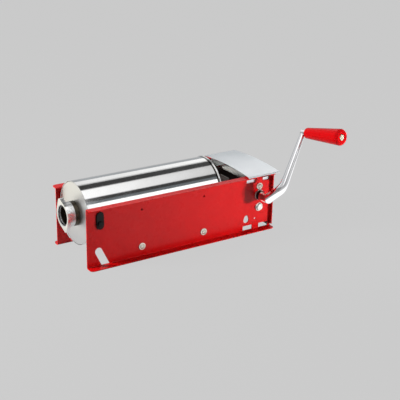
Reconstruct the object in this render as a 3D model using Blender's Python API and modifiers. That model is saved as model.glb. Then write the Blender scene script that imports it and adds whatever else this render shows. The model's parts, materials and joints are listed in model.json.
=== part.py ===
"""Horizontal two-speed sausage stuffer with a rack-driven piston.

The meat cylinder lies along X between two red channel panels, with its outlet
at -X. The crank stands on the -Y side and the panels rest on Z = 0. A rack on
the piston runs back through a gear case under the steel cover. Lengths are in
metres, and MM turns millimetres into metres.
"""

import math

import bmesh
import bpy
from mathutils import Matrix, Vector

MM = 0.001

# Clearances and facets
SEAT_GAP = 0.3 * MM
STEPS = 36
SMALL_STEPS = 12
CURVE_STEPS = 3
BEND_STEPS = 4
SLOT_STEPS = 10
WING_STEPS = 8
RING_STEPS = 6
CROWN_STEPS = 8
CLIP_STEPS = 20
HOLE_STEPS = 8

# Side panels
SHEET = 2.0 * MM
BEND_RADIUS = 1.5 * MM
PANEL_RISE = 35.4 * MM
FLANGE_WIDTH = 18.8 * MM
FLANGE_CORNER = 8.0 * MM
REAR_LIP = 8.0 * MM
REAR_LIP_MARGIN = 7.0 * MM
WINDOW_SILL = 2.2 * MM

# Cylinder
CYLINDER_RADIUS = 70.0 * MM
CYLINDER_WALL = 1.5 * MM
CYLINDER_LENGTH = 334.2 * MM
CYLINDER_FRONT_X = 8.5 * MM
CYLINDER_GROUND_CLEARANCE = 30.2 * MM
CYLINDER_SIDE_GAP = 1.35 * MM
RIM_BEAD = 1.0 * MM

# Front cap and its neck
CAP_INSET = 0.5 * MM
CAP_THICKNESS = 3.0 * MM
NECK_BORE = 21.0 * MM
NECK_RADIUS = 24.0 * MM
NECK_LENGTH = 23.0 * MM
NECK_CHAMFER = 1.0 * MM

# Outlet ring nut
NUT_BARREL_WALL = 2.7 * MM
NUT_LENGTH = 28.0 * MM
NUT_LIP = 3.5 * MM
NUT_LIP_BORE = 22.0 * MM
NUT_CHAMFER = 1.3 * MM
LOBE_REACH = 37.0 * MM
LOBE_TIP_RADIUS = 8.0 * MM
LOBE_THICKNESS = 8.0 * MM
LOBE_RING_STEP = 0.5 * MM
LOBE_FACE_STEP = 0.01 * MM
LOBE_TILT = math.radians(23.4)

# Front trunnions of the cylinder
TRUNNION_X = 31.0 * MM
TRUNNION_DROP = 3.2 * MM
TRUNNION_SLOT_DROP = 6.7 * MM
TRUNNION_SLOT_MARGIN = 11.6 * MM
SLEEVE_RADIUS = 8.7 * MM
SLEEVE_LENGTH = 5.9 * MM
TRUNNION_RADIUS = 4.7 * MM
TRUNNION_HEAD_RADIUS = 6.6 * MM
TRUNNION_HEAD = 3.0 * MM
TRUNNION_CHAMFER = 1.0 * MM

# Cradles under the cylinder
FRONT_CRADLE_BOLT_X = 132.0 * MM
REAR_CRADLE_BOLT_X = 291.0 * MM
CRADLE_BOLT_DROP = 6.2 * MM
CRADLE_TAB = 18.0 * MM
CRADLE_DEPTH = 18.2 * MM
CRADLE_WRAP = 21.8 * MM

# Bolts, washers and nuts
BOLT_RADIUS = 2.9 * MM
BOLT_HEAD_RADIUS = 5.6 * MM
BOLT_HEAD_HEIGHT = 3.6 * MM
WASHER_RADIUS = 8.0 * MM
WASHER_THICKNESS = 1.4 * MM
BOLT_SOCKET = 2.0 * MM
BOLT_TAIL = 1.5 * MM
NUT_THICKNESS = 5.0 * MM
NUT_ACROSS_FLATS = 10.0 * MM

# Gear case
PARKING_SPACE = 56.3 * MM
CASE_LENGTH = 75.0 * MM
REAR_MARGIN = 4.0 * MM
PLATE_TAB = 12.0 * MM
PLATE_BOTTOM = 3.0 * MM
PLATE_TOP_MARGIN = 7.6 * MM
TAB_BOTTOM = 42.0 * MM
SHAFT_SETBACK = 44.0 * MM

# Piston
PISTON_FRONT_X = 16.0 * MM
PISTON_CLEARANCE = 1.1 * MM
PISTON_THICKNESS = 22.0 * MM
PISTON_CHAMFER = 1.5 * MM
SEAL_GROOVE_START = 7.0 * MM
SEAL_WIDTH = 8.0 * MM
SEAL_DEPTH = 4.5 * MM
PISTON_HUB_RADIUS = 16.0 * MM
PISTON_HUB_LENGTH = 8.0 * MM
STUD_RADIUS = 5.0 * MM
STUD_ROOT = 2.0 * MM
STUD_CHAMFER = 1.0 * MM
STUD_RECESS_RADIUS = 12.0 * MM
STUD_RECESS_DEPTH = 6.5 * MM
STUD_NUT_ACROSS = 18.0 * MM
VALVE_OFFSET = 38.0 * MM
VALVE_STEM = 3.6 * MM
VALVE_HEAD_RADIUS = 7.0 * MM
VALVE_HEAD = 2.5 * MM
VALVE_TRAVEL = 3.0 * MM
VALVE_RECESS_DEPTH = 3.2 * MM
VALVE_TAIL_STEP = 1.0 * MM

# Rack and gears
STROKE = 332.0 * MM
RACK_MODULE = 2.5 * MM
PINION_TEETH = 10
RACK_WIDTH = 16.0 * MM
RACK_HEIGHT = 10.8 * MM
RACK_OVERRUN = 12.0 * MM
PINION_WIDTH = 19.0 * MM
GEAR_MODULE = 1.5 * MM
LARGE_GEAR_TEETH = 28
SLOW_PINION_TEETH = 12
LARGE_GEAR_WIDTH = 10.0 * MM
SLOW_PINION_WIDTH = 13.0 * MM
GEAR_Y = 27.0 * MM
PRESSURE_ANGLE = math.radians(25.0)
ADDENDUM = 0.85
DEDENDUM = 1.1
BACKLASH = 0.35 * MM
GEAR_BOSS_RADIUS = 14.0 * MM
GEAR_BOSS_LENGTH = 9.0 * MM
GEAR_BOSS_SINK = 1.0 * MM
LIGHTENING_HOLES = 5
LIGHTENING_RADIUS = 1.8 * MM

# Shafts and their bushes
JOURNAL_RADIUS = 8.0 * MM
FAR_JOURNAL_RADIUS = 6.5 * MM
SHAFT_CHAMFER = 0.6 * MM
MAIN_BUSH_RADIUS = 12.0 * MM
SLOW_BUSH_RADIUS = 10.0 * MM
BUSH_FLANGE = 3.0 * MM
BUSH_FLANGE_THICKNESS = 2.0 * MM
BUSH_PROUD = 2.6 * MM
SLOW_SHAFT_PROUD = 3.2 * MM
MAIN_SHAFT_PROUD = 10.0 * MM
FAR_SHAFT_PROUD = 6.0 * MM
SQUARE_DRIVE = 8.5 * MM
SOCKET_DEPTH = 17.0 * MM
SOCKET_SPARE = 2.0 * MM
PLUG_RADIUS = 7.0 * MM
PLUG_HEAD = 1.2 * MM
PLUG_LENGTH = 10.0 * MM
PLUG_ROOT = 0.5 * MM
COLLAR_RADIUS = 11.5 * MM
COLLAR_WIDTH = 6.0 * MM
CLIP_THICKNESS = 1.2 * MM
CLIP_DEPTH = 0.7 * MM
CLIP_RADIUS = 9.4 * MM
CLIP_OPENING = math.radians(38.0)

# Rack guide bar and bushes
GUIDE_LENGTH = 22.0 * MM
GUIDE_OVERLAP = 5.4 * MM
GUIDE_HEIGHT = 12.5 * MM
GUIDE_BOLT_RISE = 5.1 * MM
GUIDE_BOLT_DEPTH = 12.0 * MM
GUIDE_HOLE_SPARE = 2.0 * MM
RACK_BUSH_WALL = 5.0 * MM
RACK_BUSH_FLANGE = 4.0 * MM
RACK_BUSH_FLANGE_THICKNESS = 3.0 * MM
RACK_BUSH_TAIL = 4.0 * MM

# Cover over the gear case
COVER_SHEET = 1.2 * MM
COVER_FRONT_OVERLAP = 0.5 * MM
COVER_REAR_OVERHANG = 8.0 * MM
COVER_EDGE_INSET = 1.0 * MM
COVER_LIP = 2.3 * MM
COVER_CROWN = 5.2 * MM
COVER_BEND = 1.8 * MM
SKIRT_INSET = 4.5 * MM
SKIRT_CLEARANCE = 2.0 * MM

# Crank
CRANK_LEAN = math.radians(31.7)
HUB_RADIUS = 10.5 * MM
HUB_LENGTH = 30.0 * MM
HUB_CHAMFER = 1.0 * MM
HUB_END_CHAMFER = 2.0 * MM
HUB_ROOT = 2.0 * MM
ARM_INSET = 7.5 * MM
ELBOW_RISE = 36.8 * MM
ELBOW_REACH = 29.1 * MM
ELBOW_RUN = 14.0 * MM
ARM_LENGTH = 136.2 * MM
ARM_RETURN = math.radians(10.6)
ARM_ROOT_RADIUS = 12.2 * MM
ARM_ELBOW_RADIUS = 11.2 * MM
ARM_START_RADIUS = 9.6 * MM
ARM_TIP_RADIUS = 6.1 * MM
ARM_EYE_RADIUS = 6.6 * MM
ARM_EYE_BACK = 5.0 * MM
ARM_EYE_FRONT = 11.5 * MM

# Grip
GRIP_LENGTH = 108.0 * MM
GRIP_NECK_RADIUS = 11.0 * MM
GRIP_NECK_LENGTH = 2.0 * MM
GRIP_SMALL_RADIUS = 12.3 * MM
GRIP_LARGE_RADIUS = 18.6 * MM
GRIP_END_ROUNDING = 6.0 * MM
GRIP_PIN_RADIUS = 3.6 * MM
GRIP_PIN_HEAD_RADIUS = 6.2 * MM
GRIP_PIN_HEAD = 3.0 * MM
GRIP_PIN_PROUD = 0.4 * MM
GRIP_CAP_RADIUS = 6.8 * MM
GRIP_CAP_LENGTH = 8.0 * MM
GRIP_CAP_DOME = 1.2 * MM
GRIP_CAP_SHOULDER = 0.8 * MM
GRIP_CAP_SHOULDER_INSET = 2.0 * MM
GRIP_CAP_EDGE_DROP = 0.6 * MM

# Openings cut in both panels, measured from the panel's front edge or gear case
FOOT_SLOT_RADIUS = 8.5 * MM
FOOT_SLOT_TOP_X = 27.3 * MM
FOOT_SLOT_TOP_Z = 35.0 * MM
FOOT_SLOT_SLANT = math.radians(26.0)
SPARE_HOLE_RADIUS = 2.4 * MM
SPARE_HOLE_RISE = 8.8 * MM
FRONT_WINDOW_START = 1.0 * MM
WINDOW_LENGTH = 26.0 * MM
REAR_WINDOW_START = 45.5 * MM
WINDOW_HEIGHT = 11.0 * MM
WINDOW_CORNER = 1.5 * MM
PEAR_HOLE_SETBACK = 9.5 * MM
PEAR_HOLE_Z = 27.0 * MM
PEAR_HOLE_RADIUS = 7.4 * MM
PEAR_HOLE_TOP_RADIUS = 5.2 * MM
PEAR_HOLE_RISE = 6.5 * MM
DOT_HOLE_SETBACK = 34.5 * MM
DOT_HOLE_RADIUS = 2.5 * MM
FRONT_TAB_SLOT_START = 7.5 * MM
REAR_TAB_SLOT_START = 53.0 * MM
TAB_SLOT_LENGTH = 24.0 * MM
REAR_TAB_SLOT_LENGTH = 19.0 * MM
TAB_SLOT_DROP = 19.1 * MM
TAB_SLOT_HEIGHT = 8.5 * MM

# Positions that follow from the sizes above
AXIS_Z = CYLINDER_RADIUS + CYLINDER_GROUND_CLEARANCE
PANEL_HEIGHT = AXIS_Z + PANEL_RISE
TRUNNION_Z = AXIS_Z - TRUNNION_DROP
TRUNNION_SLOT_LOW_Z = AXIS_Z - TRUNNION_SLOT_DROP
TRUNNION_SLOT_HIGH_Z = PANEL_HEIGHT - TRUNNION_SLOT_MARGIN - SLEEVE_RADIUS
CRADLE_BOLT_Z = CYLINDER_GROUND_CLEARANCE - CRADLE_BOLT_DROP
CYLINDER_REAR_X = CYLINDER_FRONT_X + CYLINDER_LENGTH
BULKHEAD_X = CYLINDER_REAR_X + PARKING_SPACE
REAR_PLATE_X = BULKHEAD_X + CASE_LENGTH
PANEL_LENGTH = REAR_PLATE_X + REAR_MARGIN
SHAFT_X = BULKHEAD_X + SHAFT_SETBACK
WEB_INNER_Y = CYLINDER_RADIUS + CYLINDER_SIDE_GAP
WEB_MID_Y = WEB_INNER_Y + SHEET / 2
WEB_OUTER_Y = WEB_INNER_Y + SHEET
FLANGE_EDGE_Y = WEB_OUTER_Y + FLANGE_WIDTH
CYLINDER_BORE = CYLINDER_RADIUS - CYLINDER_WALL

RACK_PITCH = math.pi * RACK_MODULE
RACK_TIP_Z = AXIS_Z - RACK_HEIGHT / 2
RACK_TOP_Z = AXIS_Z + RACK_HEIGHT / 2
PITCH_LINE_Z = RACK_TIP_Z + ADDENDUM * RACK_MODULE
PINION_PITCH_RADIUS = RACK_MODULE * PINION_TEETH / 2
MAIN_Z = PITCH_LINE_Z - PINION_PITCH_RADIUS
SLOW_Z = MAIN_Z - GEAR_MODULE * (LARGE_GEAR_TEETH + SLOW_PINION_TEETH) / 2
LARGE_GEAR_RADIUS = GEAR_MODULE * (LARGE_GEAR_TEETH / 2 + ADDENDUM)

PISTON_BACK_X = PISTON_FRONT_X + PISTON_THICKNESS
RACK_START_X = PISTON_BACK_X + PISTON_HUB_LENGTH + SEAT_GAP
GUIDE_BOTTOM_Z = RACK_TOP_Z - GUIDE_OVERLAP
GUIDE_BOLT_Z = GUIDE_BOTTOM_Z + GUIDE_BOLT_RISE
BOLT_HOLE_RADIUS = BOLT_RADIUS + 1.3 * SEAT_GAP

SHAFT_AXIS = (0.0, 1.0, 0.0)


def clear_scene():
    """Remove every object that the file holds."""
    for old in list(bpy.data.objects):
        bpy.data.objects.remove(old, do_unlink=True)


def new_collection(name, hidden=False):
    """Return a new collection linked to the scene."""
    collection = bpy.data.collections.new(name)
    bpy.context.scene.collection.children.link(collection)
    collection.hide_render = hidden
    return collection


def material(name, colour, roughness, metallic):
    """Return a Principled material with one plain colour."""
    made = bpy.data.materials.new(name)
    made.use_nodes = True
    shader = made.node_tree.nodes["Principled BSDF"]
    shader.inputs["Base Color"].default_value = (*colour, 1.0)
    shader.inputs["Roughness"].default_value = roughness
    shader.inputs["Metallic"].default_value = metallic
    made.diffuse_color = (*colour, 1.0)
    return made


def axes_matrix(origin, x_axis, y_axis):
    """Return the matrix whose local X and Y point along the given axes."""
    x_axis = Vector(x_axis).normalized()
    y_axis = Vector(y_axis).normalized()
    turn = Matrix((x_axis, y_axis, x_axis.cross(y_axis))).transposed()
    return Matrix.Translation(origin) @ turn.to_4x4()


def axis_matrix(origin, direction):
    """Return a matrix whose local Z points along the direction."""
    turn = Vector((0.0, 0.0, 1.0)).rotation_difference(Vector(direction))
    return Matrix.Translation(origin) @ turn.to_matrix().to_4x4()


class Workshop:
    """Collections, materials and the frame that the finished pieces hang on."""

    def __init__(self):
        self.parts = new_collection("sausage_stuffer")
        self.cutters = new_collection("cutters", hidden=True)
        self.root = self.pivot("machine_origin", Matrix.Identity(4), None)
        self.materials = {
            "painted_red": material("painted_red", (0.60, 0.016, 0.016), 0.34, 0.0),
            "polished_steel": material("polished_steel", (0.80, 0.80, 0.80), 0.12, 1.0),
            "cover_steel": material("cover_steel", (0.60, 0.64, 0.67), 0.32, 1.0),
            "zinc_steel": material("zinc_steel", (0.66, 0.62, 0.54), 0.30, 1.0),
            "gear_steel": material("gear_steel", (0.40, 0.40, 0.41), 0.38, 1.0),
            "chrome": material("chrome", (0.82, 0.82, 0.83), 0.08, 1.0),
            "white_nylon": material("white_nylon", (0.82, 0.81, 0.76), 0.45, 0.0),
            "black_nylon": material("black_nylon", (0.02, 0.02, 0.02), 0.45, 0.0),
            "silicone": material("silicone", (0.62, 0.60, 0.55), 0.55, 0.0),
            "grip_red": material("grip_red", (0.70, 0.008, 0.012), 0.28, 0.0),
            "cream_plastic": material("cream_plastic", (0.84, 0.80, 0.70), 0.4, 0.0),
        }

    def pivot(self, name, matrix, parent):
        """Return an empty that carries the pieces of one moving group."""
        empty = bpy.data.objects.new(name, None)
        self.parts.objects.link(empty)
        empty.empty_display_size = 20 * MM
        empty.parent = parent
        empty.matrix_local = matrix
        return empty

    def finish(self, piece, finish, parent=None):
        """Give a piece its own material, its parent and smooth round sides."""
        own = self.materials[finish].copy()
        own.name = f"{piece.name}_{finish}"
        piece.data.materials.clear()
        piece.data.materials.append(own)
        piece.data.shade_smooth()
        piece.data.set_sharp_from_angle(angle=math.radians(35.0))
        piece.parent = parent or self.root
        return piece

    def add_mesh(self, name, mesh, matrix, cutter=False):
        """Link a mesh object, among the cutters if it only shapes others."""
        piece = bpy.data.objects.new(name, mesh)
        piece.matrix_basis = matrix
        piece.parent = self.root
        (self.cutters if cutter else self.parts).objects.link(piece)
        piece.hide_render = cutter
        piece.display_type = "WIRE" if cutter else "TEXTURED"
        return piece

    def extruded(self, name, outlines, thickness, matrix, cutter=False):
        """Return flat outlines given a thickness; inner outlines are holes."""
        curve = bpy.data.curves.new(name, "CURVE")
        curve.dimensions = "2D"
        curve.fill_mode = "BOTH"
        curve.extrude = thickness / 2
        for outline in outlines:
            spline = curve.splines.new("POLY")
            spline.points.add(len(outline) - 1)
            for point, place in zip(spline.points, outline):
                point.co = (place[0], place[1], 0.0, 1.0)
            spline.use_cyclic_u = True
        piece = bpy.data.objects.new(name, curve)
        return self.curve_to_mesh(piece, matrix, cutter)

    def curve_to_mesh(self, curve_object, matrix, cutter=False):
        """Turn a curve object into a closed mesh object at the matrix."""
        name = curve_object.name
        self.parts.objects.link(curve_object)
        bpy.context.view_layer.update()
        graph = bpy.context.evaluated_depsgraph_get()
        mesh = bpy.data.meshes.new_from_object(curve_object.evaluated_get(graph))
        bpy.data.objects.remove(curve_object, do_unlink=True)
        shape = bmesh.new()
        shape.from_mesh(mesh)
        bmesh.ops.remove_doubles(shape, verts=shape.verts, dist=0.001 * MM)
        bmesh.ops.dissolve_limit(shape, angle_limit=0.001, edges=shape.edges, verts=[])
        bmesh.ops.recalc_face_normals(shape, faces=shape.faces)
        shape.to_mesh(mesh)
        shape.free()
        return self.add_mesh(name, mesh, matrix, cutter)

    def turned(self, name, profile, matrix, steps=STEPS, closed=True, cutter=False):
        """Return a profile of (radius, height) points turned about local Z."""
        if signed_area(profile) > 0.0:
            profile = profile[::-1]
        mesh = bpy.data.meshes.new(name)
        shape = bmesh.new()
        points = [shape.verts.new((radius, 0.0, height)) for radius, height in profile]
        for start, end in zip(points, points[1:]):
            shape.edges.new((start, end))
        if closed:
            shape.edges.new((points[-1], points[0]))
        shape.to_mesh(mesh)
        shape.free()
        piece = self.add_mesh(name, mesh, matrix, cutter)
        screw = piece.modifiers.new("turn", "SCREW")
        screw.axis = "Z"
        screw.angle = math.tau
        screw.steps = steps
        screw.render_steps = steps
        screw.use_merge_vertices = True
        screw.merge_threshold = 0.001 * MM
        return piece

    def bent_sheet(self, name, path, sweep, thickness, cutter=False):
        """Return a sheet bent along a path of points and swept straight."""
        mesh = bpy.data.meshes.new(name)
        shape = bmesh.new()
        points = [shape.verts.new(point) for point in path]
        edges = [shape.edges.new(pair) for pair in zip(points, points[1:])]
        swept = bmesh.ops.extrude_edge_only(shape, edges=edges)["geom"]
        moved = [item for item in swept if isinstance(item, bmesh.types.BMVert)]
        bmesh.ops.translate(shape, verts=moved, vec=Vector(sweep))
        shape.to_mesh(mesh)
        shape.free()
        piece = self.add_mesh(name, mesh, Matrix.Identity(4), cutter)
        solid = piece.modifiers.new("sheet", "SOLIDIFY")
        solid.thickness = thickness
        solid.offset = 0.0
        return piece

    def box(self, name, low, high, cutter=False, matrix=None):
        """Return a box between two corners."""
        mesh = bpy.data.meshes.new(name)
        shape = bmesh.new()
        size = [far - near for near, far in zip(low, high)]
        middle = [(near + far) / 2 for near, far in zip(low, high)]
        placed = Matrix.Translation(middle) @ Matrix.Diagonal((*size, 1.0))
        bmesh.ops.create_cube(shape, size=1.0, matrix=placed)
        shape.to_mesh(mesh)
        shape.free()
        return self.add_mesh(name, mesh, matrix or Matrix.Identity(4), cutter)

    def combine(self, piece, tool, operation):
        """Add one exact Boolean step to a piece."""
        step = piece.modifiers.new(tool.name, "BOOLEAN")
        step.solver = "EXACT"
        step.operation = operation
        step.object = tool
        return piece


def signed_area(outline):
    """Return twice an outline's area, negative where it runs clockwise."""
    pairs = zip(outline, outline[1:] + outline[:1])
    return sum(x0 * y1 - x1 * y0 for (x0, y0), (x1, y1) in pairs)


def circle(x, y, radius, steps=SMALL_STEPS):
    """Return the points of a circle."""
    turns = [math.tau * index / steps for index in range(steps)]
    return [(x + radius * math.cos(turn), y + radius * math.sin(turn)) for turn in turns]


def arc(x, y, radius, start, end, steps=CURVE_STEPS):
    """Return points along an arc, both ends included."""
    turns = [start + (end - start) * index / steps for index in range(steps + 1)]
    return [(x + radius * math.cos(turn), y + radius * math.sin(turn)) for turn in turns]


def rounded_rectangle(x0, x1, y0, y1, radius):
    """Return a rectangle with rounded corners."""
    quarter = math.pi / 2
    points = []
    corners = ((x1, y1, 0), (x0, y1, 1), (x0, y0, 2), (x1, y0, 3))
    for x, y, turn in corners:
        centre_x = x - radius if x == x1 else x + radius
        centre_y = y - radius if y == y1 else y + radius
        points += arc(centre_x, centre_y, radius, turn * quarter, (turn + 1) * quarter)
    return points


def tapered_slot(x0, y0, radius0, x1, y1, radius1, steps=SLOT_STEPS):
    """Return the outline that wraps two circles, widest first."""
    run = math.hypot(x1 - x0, y1 - y0)
    heading = math.atan2(y1 - y0, x1 - x0)
    spread = math.acos((radius0 - radius1) / run)
    near_side = arc(x0, y0, radius0, heading + spread, heading + math.tau - spread, steps)
    far_side = arc(x1, y1, radius1, heading - spread, heading + spread, steps)
    return near_side + far_side


def ring_profile(inner, outer, low, high):
    """Return the closed profile of a plain ring."""
    return [(outer, high), (outer, low), (inner, low), (inner, high)]


def gear_outline(module, teeth, phase):
    """Return an involute gear's outline, one tooth centred on the phase angle."""
    pitch_radius = module * teeth / 2
    base_radius = pitch_radius * math.cos(PRESSURE_ANGLE)
    tip_radius = pitch_radius + ADDENDUM * module
    root_radius = pitch_radius - DEDENDUM * module
    flank_start = max(base_radius, root_radius)
    pitch_roll = math.tan(PRESSURE_ANGLE) - PRESSURE_ANGLE
    half_tooth = (math.pi * module / 2 - BACKLASH / 2) / 2 / pitch_radius
    flank = []
    for index in range(CURVE_STEPS):
        radius = flank_start + (tip_radius - flank_start) * index / (CURVE_STEPS - 1)
        roll_angle = math.acos(base_radius / radius)
        roll = math.tan(roll_angle) - roll_angle
        flank.append((radius, half_tooth + pitch_roll - roll))
    if root_radius < base_radius:
        flank.insert(0, (root_radius, flank[0][1]))
    points = []
    for tooth in range(teeth):
        centre = phase + math.tau * tooth / teeth
        for radius, half_angle in flank:
            points.append((radius, centre - half_angle))
        for radius, half_angle in reversed(flank):
            points.append((radius, centre + half_angle))
    return [(radius * math.cos(turn), radius * math.sin(turn)) for radius, turn in points]


def rack_spaces():
    """Return the gaps between the rack's teeth, seen from the near side."""
    low = RACK_TIP_Z - RACK_MODULE
    root = PITCH_LINE_Z + DEDENDUM * RACK_MODULE
    middle_half = (RACK_PITCH / 2 + BACKLASH / 2) / 2
    low_half = middle_half + (PITCH_LINE_Z - low) * math.tan(PRESSURE_ANGLE)
    root_half = middle_half - (root - PITCH_LINE_Z) * math.tan(PRESSURE_ANGLE)
    first = -math.ceil((STROKE + RACK_OVERRUN) / RACK_PITCH)
    last = math.floor((RACK_OVERRUN + RACK_MODULE) / RACK_PITCH)
    spaces = []
    for index in range(first, last + 1):
        middle = SHAFT_X + index * RACK_PITCH
        spaces.append([(middle - low_half, low), (middle + low_half, low),
                       (middle + root_half, root), (middle - root_half, root)])
    return spaces


def hex_outline(across_flats):
    """Return a hexagon with its flats upright."""
    return circle(0.0, 0.0, across_flats / 2 / math.cos(math.pi / 6), 6)


def trunnion_slot(radius):
    """Return the outline of the slot that the trunnion's sleeve fills."""
    return tapered_slot(TRUNNION_X, TRUNNION_SLOT_LOW_Z, radius,
                        TRUNNION_X, TRUNNION_SLOT_HIGH_Z, radius)


def panel_cutouts(shop, side):
    """Return one cutter with every opening of a side panel."""
    floor = WINDOW_SILL
    slant = (FOOT_SLOT_TOP_Z - floor) * math.tan(FOOT_SLOT_SLANT)
    spread = FOOT_SLOT_RADIUS / math.cos(FOOT_SLOT_SLANT)
    foot_x = FOOT_SLOT_TOP_X + slant
    foot_slot = arc(FOOT_SLOT_TOP_X, FOOT_SLOT_TOP_Z, FOOT_SLOT_RADIUS,
                    FOOT_SLOT_SLANT, FOOT_SLOT_SLANT + math.pi, SLOT_STEPS)
    foot_slot += [(foot_x - spread, floor), (foot_x + spread, floor)]
    window_top = floor + WINDOW_HEIGHT
    tab_slot_bottom = PANEL_HEIGHT - TAB_SLOT_DROP
    tab_slot_top = tab_slot_bottom + TAB_SLOT_HEIGHT
    pear_x = BULKHEAD_X + PEAR_HOLE_SETBACK
    pear = tapered_slot(pear_x, PEAR_HOLE_Z, PEAR_HOLE_RADIUS,
                        pear_x, PEAR_HOLE_Z + PEAR_HOLE_RISE, PEAR_HOLE_TOP_RADIUS)
    outlines = [
        foot_slot,
        trunnion_slot(SLEEVE_RADIUS + SEAT_GAP),
        circle(SHAFT_X, MAIN_Z, MAIN_BUSH_RADIUS + SEAT_GAP, STEPS // 2),
        circle(SHAFT_X, SLOW_Z, SLOW_BUSH_RADIUS + SEAT_GAP, STEPS // 2),
        circle(SHAFT_X, GUIDE_BOLT_Z, BOLT_HOLE_RADIUS),
        pear,
        circle(BULKHEAD_X + DOT_HOLE_SETBACK, PEAR_HOLE_Z, DOT_HOLE_RADIUS),
    ]
    for bolt_x in (FRONT_CRADLE_BOLT_X, REAR_CRADLE_BOLT_X):
        outlines.append(circle(bolt_x, CRADLE_BOLT_Z, BOLT_HOLE_RADIUS))
        outlines.append(circle(bolt_x, AXIS_Z + SPARE_HOLE_RISE, SPARE_HOLE_RADIUS))
    for start in (FRONT_WINDOW_START, REAR_WINDOW_START):
        left = BULKHEAD_X + start
        outlines.append(rounded_rectangle(left, left + WINDOW_LENGTH,
                                          floor, window_top, WINDOW_CORNER))
    tab_slots = ((FRONT_TAB_SLOT_START, TAB_SLOT_LENGTH),
                 (REAR_TAB_SLOT_START, REAR_TAB_SLOT_LENGTH))
    for start, length in tab_slots:
        left = BULKHEAD_X + start
        outlines.append(rounded_rectangle(left, left + length,
                                          tab_slot_bottom, tab_slot_top, WINDOW_CORNER))
    place = axes_matrix((0.0, side * WEB_MID_Y, 0.0), (1, 0, 0), (0, 0, 1))
    return shop.extruded(f"cutouts_{side:+d}", outlines, 3 * SHEET, place, cutter=True)


def side_panel(shop, name, side):
    """Return a channel panel with outward flanges, a rear lip and its openings."""
    bend = BEND_RADIUS + SHEET / 2
    low = SHEET / 2
    high = PANEL_HEIGHT - SHEET / 2
    section = [(FLANGE_EDGE_Y, low)]
    section += arc(WEB_MID_Y + bend, low + bend, bend, 1.5 * math.pi, math.pi, BEND_STEPS)
    section += arc(WEB_MID_Y + bend, high - bend, bend, math.pi, 0.5 * math.pi, BEND_STEPS)
    section += [(FLANGE_EDGE_Y, high)]
    path = [(0.0, side * y, z) for y, z in section]
    panel = shop.bent_sheet(name, path, (PANEL_LENGTH, 0.0, 0.0), SHEET)
    lip_edges = sorted((side * WEB_MID_Y, side * (WEB_OUTER_Y + REAR_LIP)))
    lip = shop.box(f"{name}_lip",
                   (PANEL_LENGTH - SHEET, lip_edges[0], REAR_LIP_MARGIN),
                   (PANEL_LENGTH, lip_edges[1], PANEL_HEIGHT - REAR_LIP_MARGIN), cutter=True)
    shop.combine(panel, lip, "UNION")
    shop.combine(panel, panel_cutouts(shop, side), "DIFFERENCE")
    outline = rounded_rectangle(0.0, PANEL_LENGTH, -FLANGE_EDGE_Y, FLANGE_EDGE_Y, FLANGE_CORNER)
    plan = shop.extruded(f"{name}_plan", [outline], 3 * PANEL_HEIGHT,
                         Matrix.Identity(4), cutter=True)
    shop.combine(panel, plan, "INTERSECT")
    return shop.finish(panel, "painted_red")


def channel_plate(shop, name, plate_x, tab, low, high, direction):
    """Return a cross plate between the panels with two bent side tabs."""
    bend = BEND_RADIUS + SHEET / 2
    edge = WEB_INNER_Y - SEAT_GAP - SHEET / 2
    corner = [(plate_x + direction * x, edge - y)
              for x, y in arc(bend, bend, bend, 1.5 * math.pi, math.pi, BEND_STEPS)]
    half = [(plate_x + direction * tab, edge)] + corner
    path = half + [(x, -y) for x, y in reversed(half)]
    return shop.bent_sheet(name, [(x, y, low) for x, y in path],
                           (0.0, 0.0, high - low), SHEET)


def cradle(shop, name, bolt_x):
    """Return a cradle plate whose top edge is cut to the cylinder's curve."""
    plate = channel_plate(shop, name, bolt_x - CRADLE_TAB / 2, CRADLE_TAB,
                          CYLINDER_GROUND_CLEARANCE - CRADLE_DEPTH,
                          CYLINDER_GROUND_CLEARANCE + CRADLE_WRAP, 1)
    seat = shop.turned(f"{name}_seat",
                       [(0.0, CRADLE_TAB * 2), (CYLINDER_RADIUS + SEAT_GAP, CRADLE_TAB * 2),
                        (CYLINDER_RADIUS + SEAT_GAP, -CRADLE_TAB), (0.0, -CRADLE_TAB)],
                       axis_matrix((bolt_x - CRADLE_TAB / 2, 0.0, AXIS_Z), (1, 0, 0)),
                       closed=False, cutter=True)
    shop.combine(plate, seat, "DIFFERENCE")
    holes = shop.extruded(f"{name}_holes", [circle(bolt_x, CRADLE_BOLT_Z, BOLT_HOLE_RADIUS)],
                          3 * WEB_INNER_Y, axes_matrix((0, 0, 0), (1, 0, 0), (0, 0, 1)),
                          cutter=True)
    shop.combine(plate, holes, "DIFFERENCE")
    return shop.finish(plate, "painted_red")


def bolt(shop, name, x, z, side, reach):
    """Return a button-head bolt with its washer, pointing inwards from a panel."""
    washer = WASHER_THICKNESS + SEAT_GAP
    quarter = arc(0.0, 0.0, 1.0, math.pi / 2, 0.0, CURVE_STEPS)
    dome = [(BOLT_HEAD_RADIUS * across, washer + BOLT_HEAD_HEIGHT * up) for across, up in quarter]
    profile = [(0.0, washer), (BOLT_SOCKET, washer), (BOLT_SOCKET, washer + BOLT_HEAD_HEIGHT)]
    profile += [point for point in dome if point[0] > BOLT_SOCKET]
    profile += [(WASHER_RADIUS, washer), (WASHER_RADIUS, SEAT_GAP), (BOLT_RADIUS, SEAT_GAP),
                (BOLT_RADIUS, -reach), (0.0, -reach)]
    place = axis_matrix((x, side * WEB_OUTER_Y, z), (0, side, 0))
    piece = shop.turned(name, profile, place, SMALL_STEPS, closed=False)
    return shop.finish(piece, "zinc_steel")


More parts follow.
